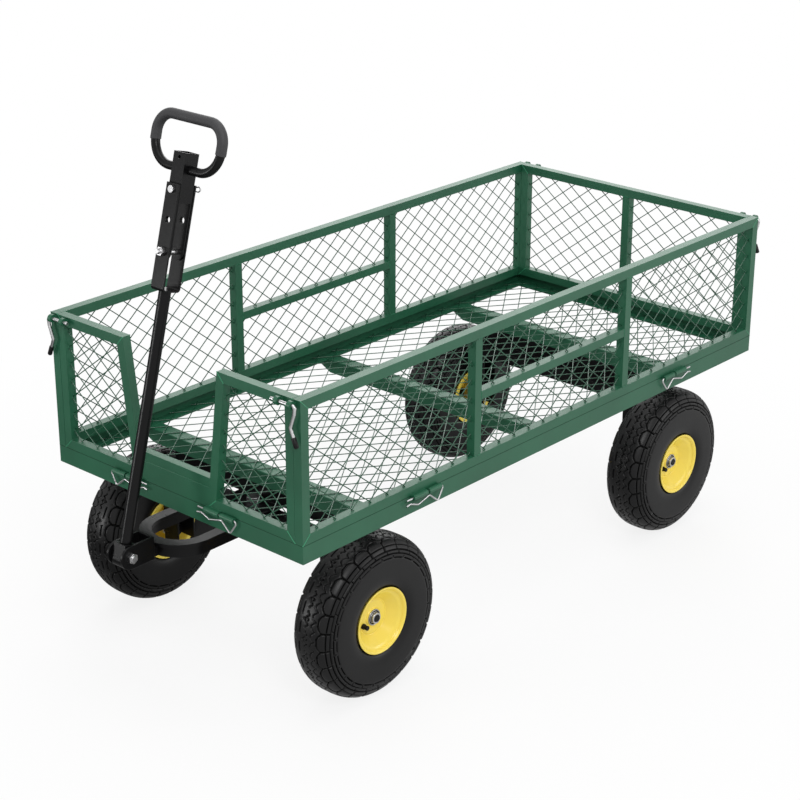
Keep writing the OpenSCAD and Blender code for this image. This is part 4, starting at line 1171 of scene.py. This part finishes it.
def add_world(scene, ambient):
    """Even light from all round, seen as white"""
    world = bpy.data.worlds.new("studio")
    scene.world = world
    world.use_nodes = True
    tree = world.node_tree
    background = tree.nodes["Background"]
    background.inputs["Color"].default_value = (1, 1, 1, 1)
    path = tree.nodes.new("ShaderNodeLightPath")
    seen = tree.nodes.new("ShaderNodeMath")
    seen.operation = "MAXIMUM"
    tree.links.new(path.outputs["Is Camera Ray"], seen.inputs[0])
    tree.links.new(path.outputs["Is Glossy Ray"], seen.inputs[1])
    level = tree.nodes.new("ShaderNodeMapRange")
    level.inputs["To Min"].default_value = ambient
    level.inputs["To Max"].default_value = 1.0
    tree.links.new(seen.outputs[0], level.inputs["Value"])
    tree.links.new(level.outputs["Result"], background.inputs["Strength"])


def add_lamp(name, place, target, size, power):
    """A square soft lamp that faces a target"""
    light = bpy.data.lights.new(name, "AREA")
    light.energy = power
    light.size = size
    lamp = bpy.data.objects.new(name, light)
    lamp.location = place
    lamp.rotation_mode = "QUATERNION"
    lamp.rotation_quaternion = (Vector(target) - Vector(place)).to_track_quat("-Z", "Y")
    bpy.context.scene.collection.objects.link(lamp)


def add_camera(scene, lens):
    """The camera, to the right and in front of the cart, looking down on it"""
    azimuth, elevation, roll = (math.radians(angle) for angle in CAMERA_TURN)
    back = Vector((math.sin(azimuth) * math.cos(elevation),
                   -math.cos(azimuth) * math.cos(elevation), math.sin(elevation)))
    camera = bpy.data.objects.new("camera", bpy.data.cameras.new("camera"))
    camera.data.lens = lens
    camera.data.sensor_width = 36.0
    camera.location = CAMERA_PLACE
    camera.rotation_mode = "QUATERNION"
    camera.rotation_quaternion = Quaternion(back, roll) @ (-back).to_track_quat("-Z", "Y")
    scene.collection.objects.link(camera)
    scene.camera = camera


class CART_PT_panel(bpy.types.Panel):
    """Lists the cart's pieces, sizes and colours in the sidebar"""

    bl_label = "Garden Cart"
    bl_idname = "CART_PT_panel"
    bl_space_type = "VIEW_3D"
    bl_region_type = "UI"
    bl_category = "Garden Cart"

    def draw(self, context):
        for operator in OPERATORS:
            self.layout.operator(operator.bl_idname)
        for name, group in GROUPS.items():
            box = self.layout.box()
            box.label(text=group.__doc__)
            for key in group.__annotations__:
                box.prop(getattr(context.scene, name), key)


OPERATORS = [CART_OT_steel, CART_OT_welds, CART_OT_mesh, CART_OT_fittings, CART_OT_grip,
             CART_OT_wheels, CART_OT_stage]


def register():
    for name, group in GROUPS.items():
        bpy.utils.register_class(group)
        setattr(bpy.types.Scene, name, PointerProperty(type=group))
    for cls in [*OPERATORS, CART_PT_panel]:
        bpy.utils.register_class(cls)


def unregister():
    for cls in [CART_PT_panel, *reversed(OPERATORS)]:
        bpy.utils.unregister_class(cls)
    for name, group in reversed(GROUPS.items()):
        delattr(bpy.types.Scene, name)
        bpy.utils.unregister_class(group)


def main():
    """Dresses the cart"""
    register()
    bpy.ops.cart.welded_steel()
    bpy.ops.cart.welds()
    bpy.ops.cart.wire_mesh()
    bpy.ops.cart.fittings()
    bpy.ops.cart.grip()
    bpy.ops.cart.wheels()
    bpy.ops.cart.stage()


if __name__ == "__main__":
    main()
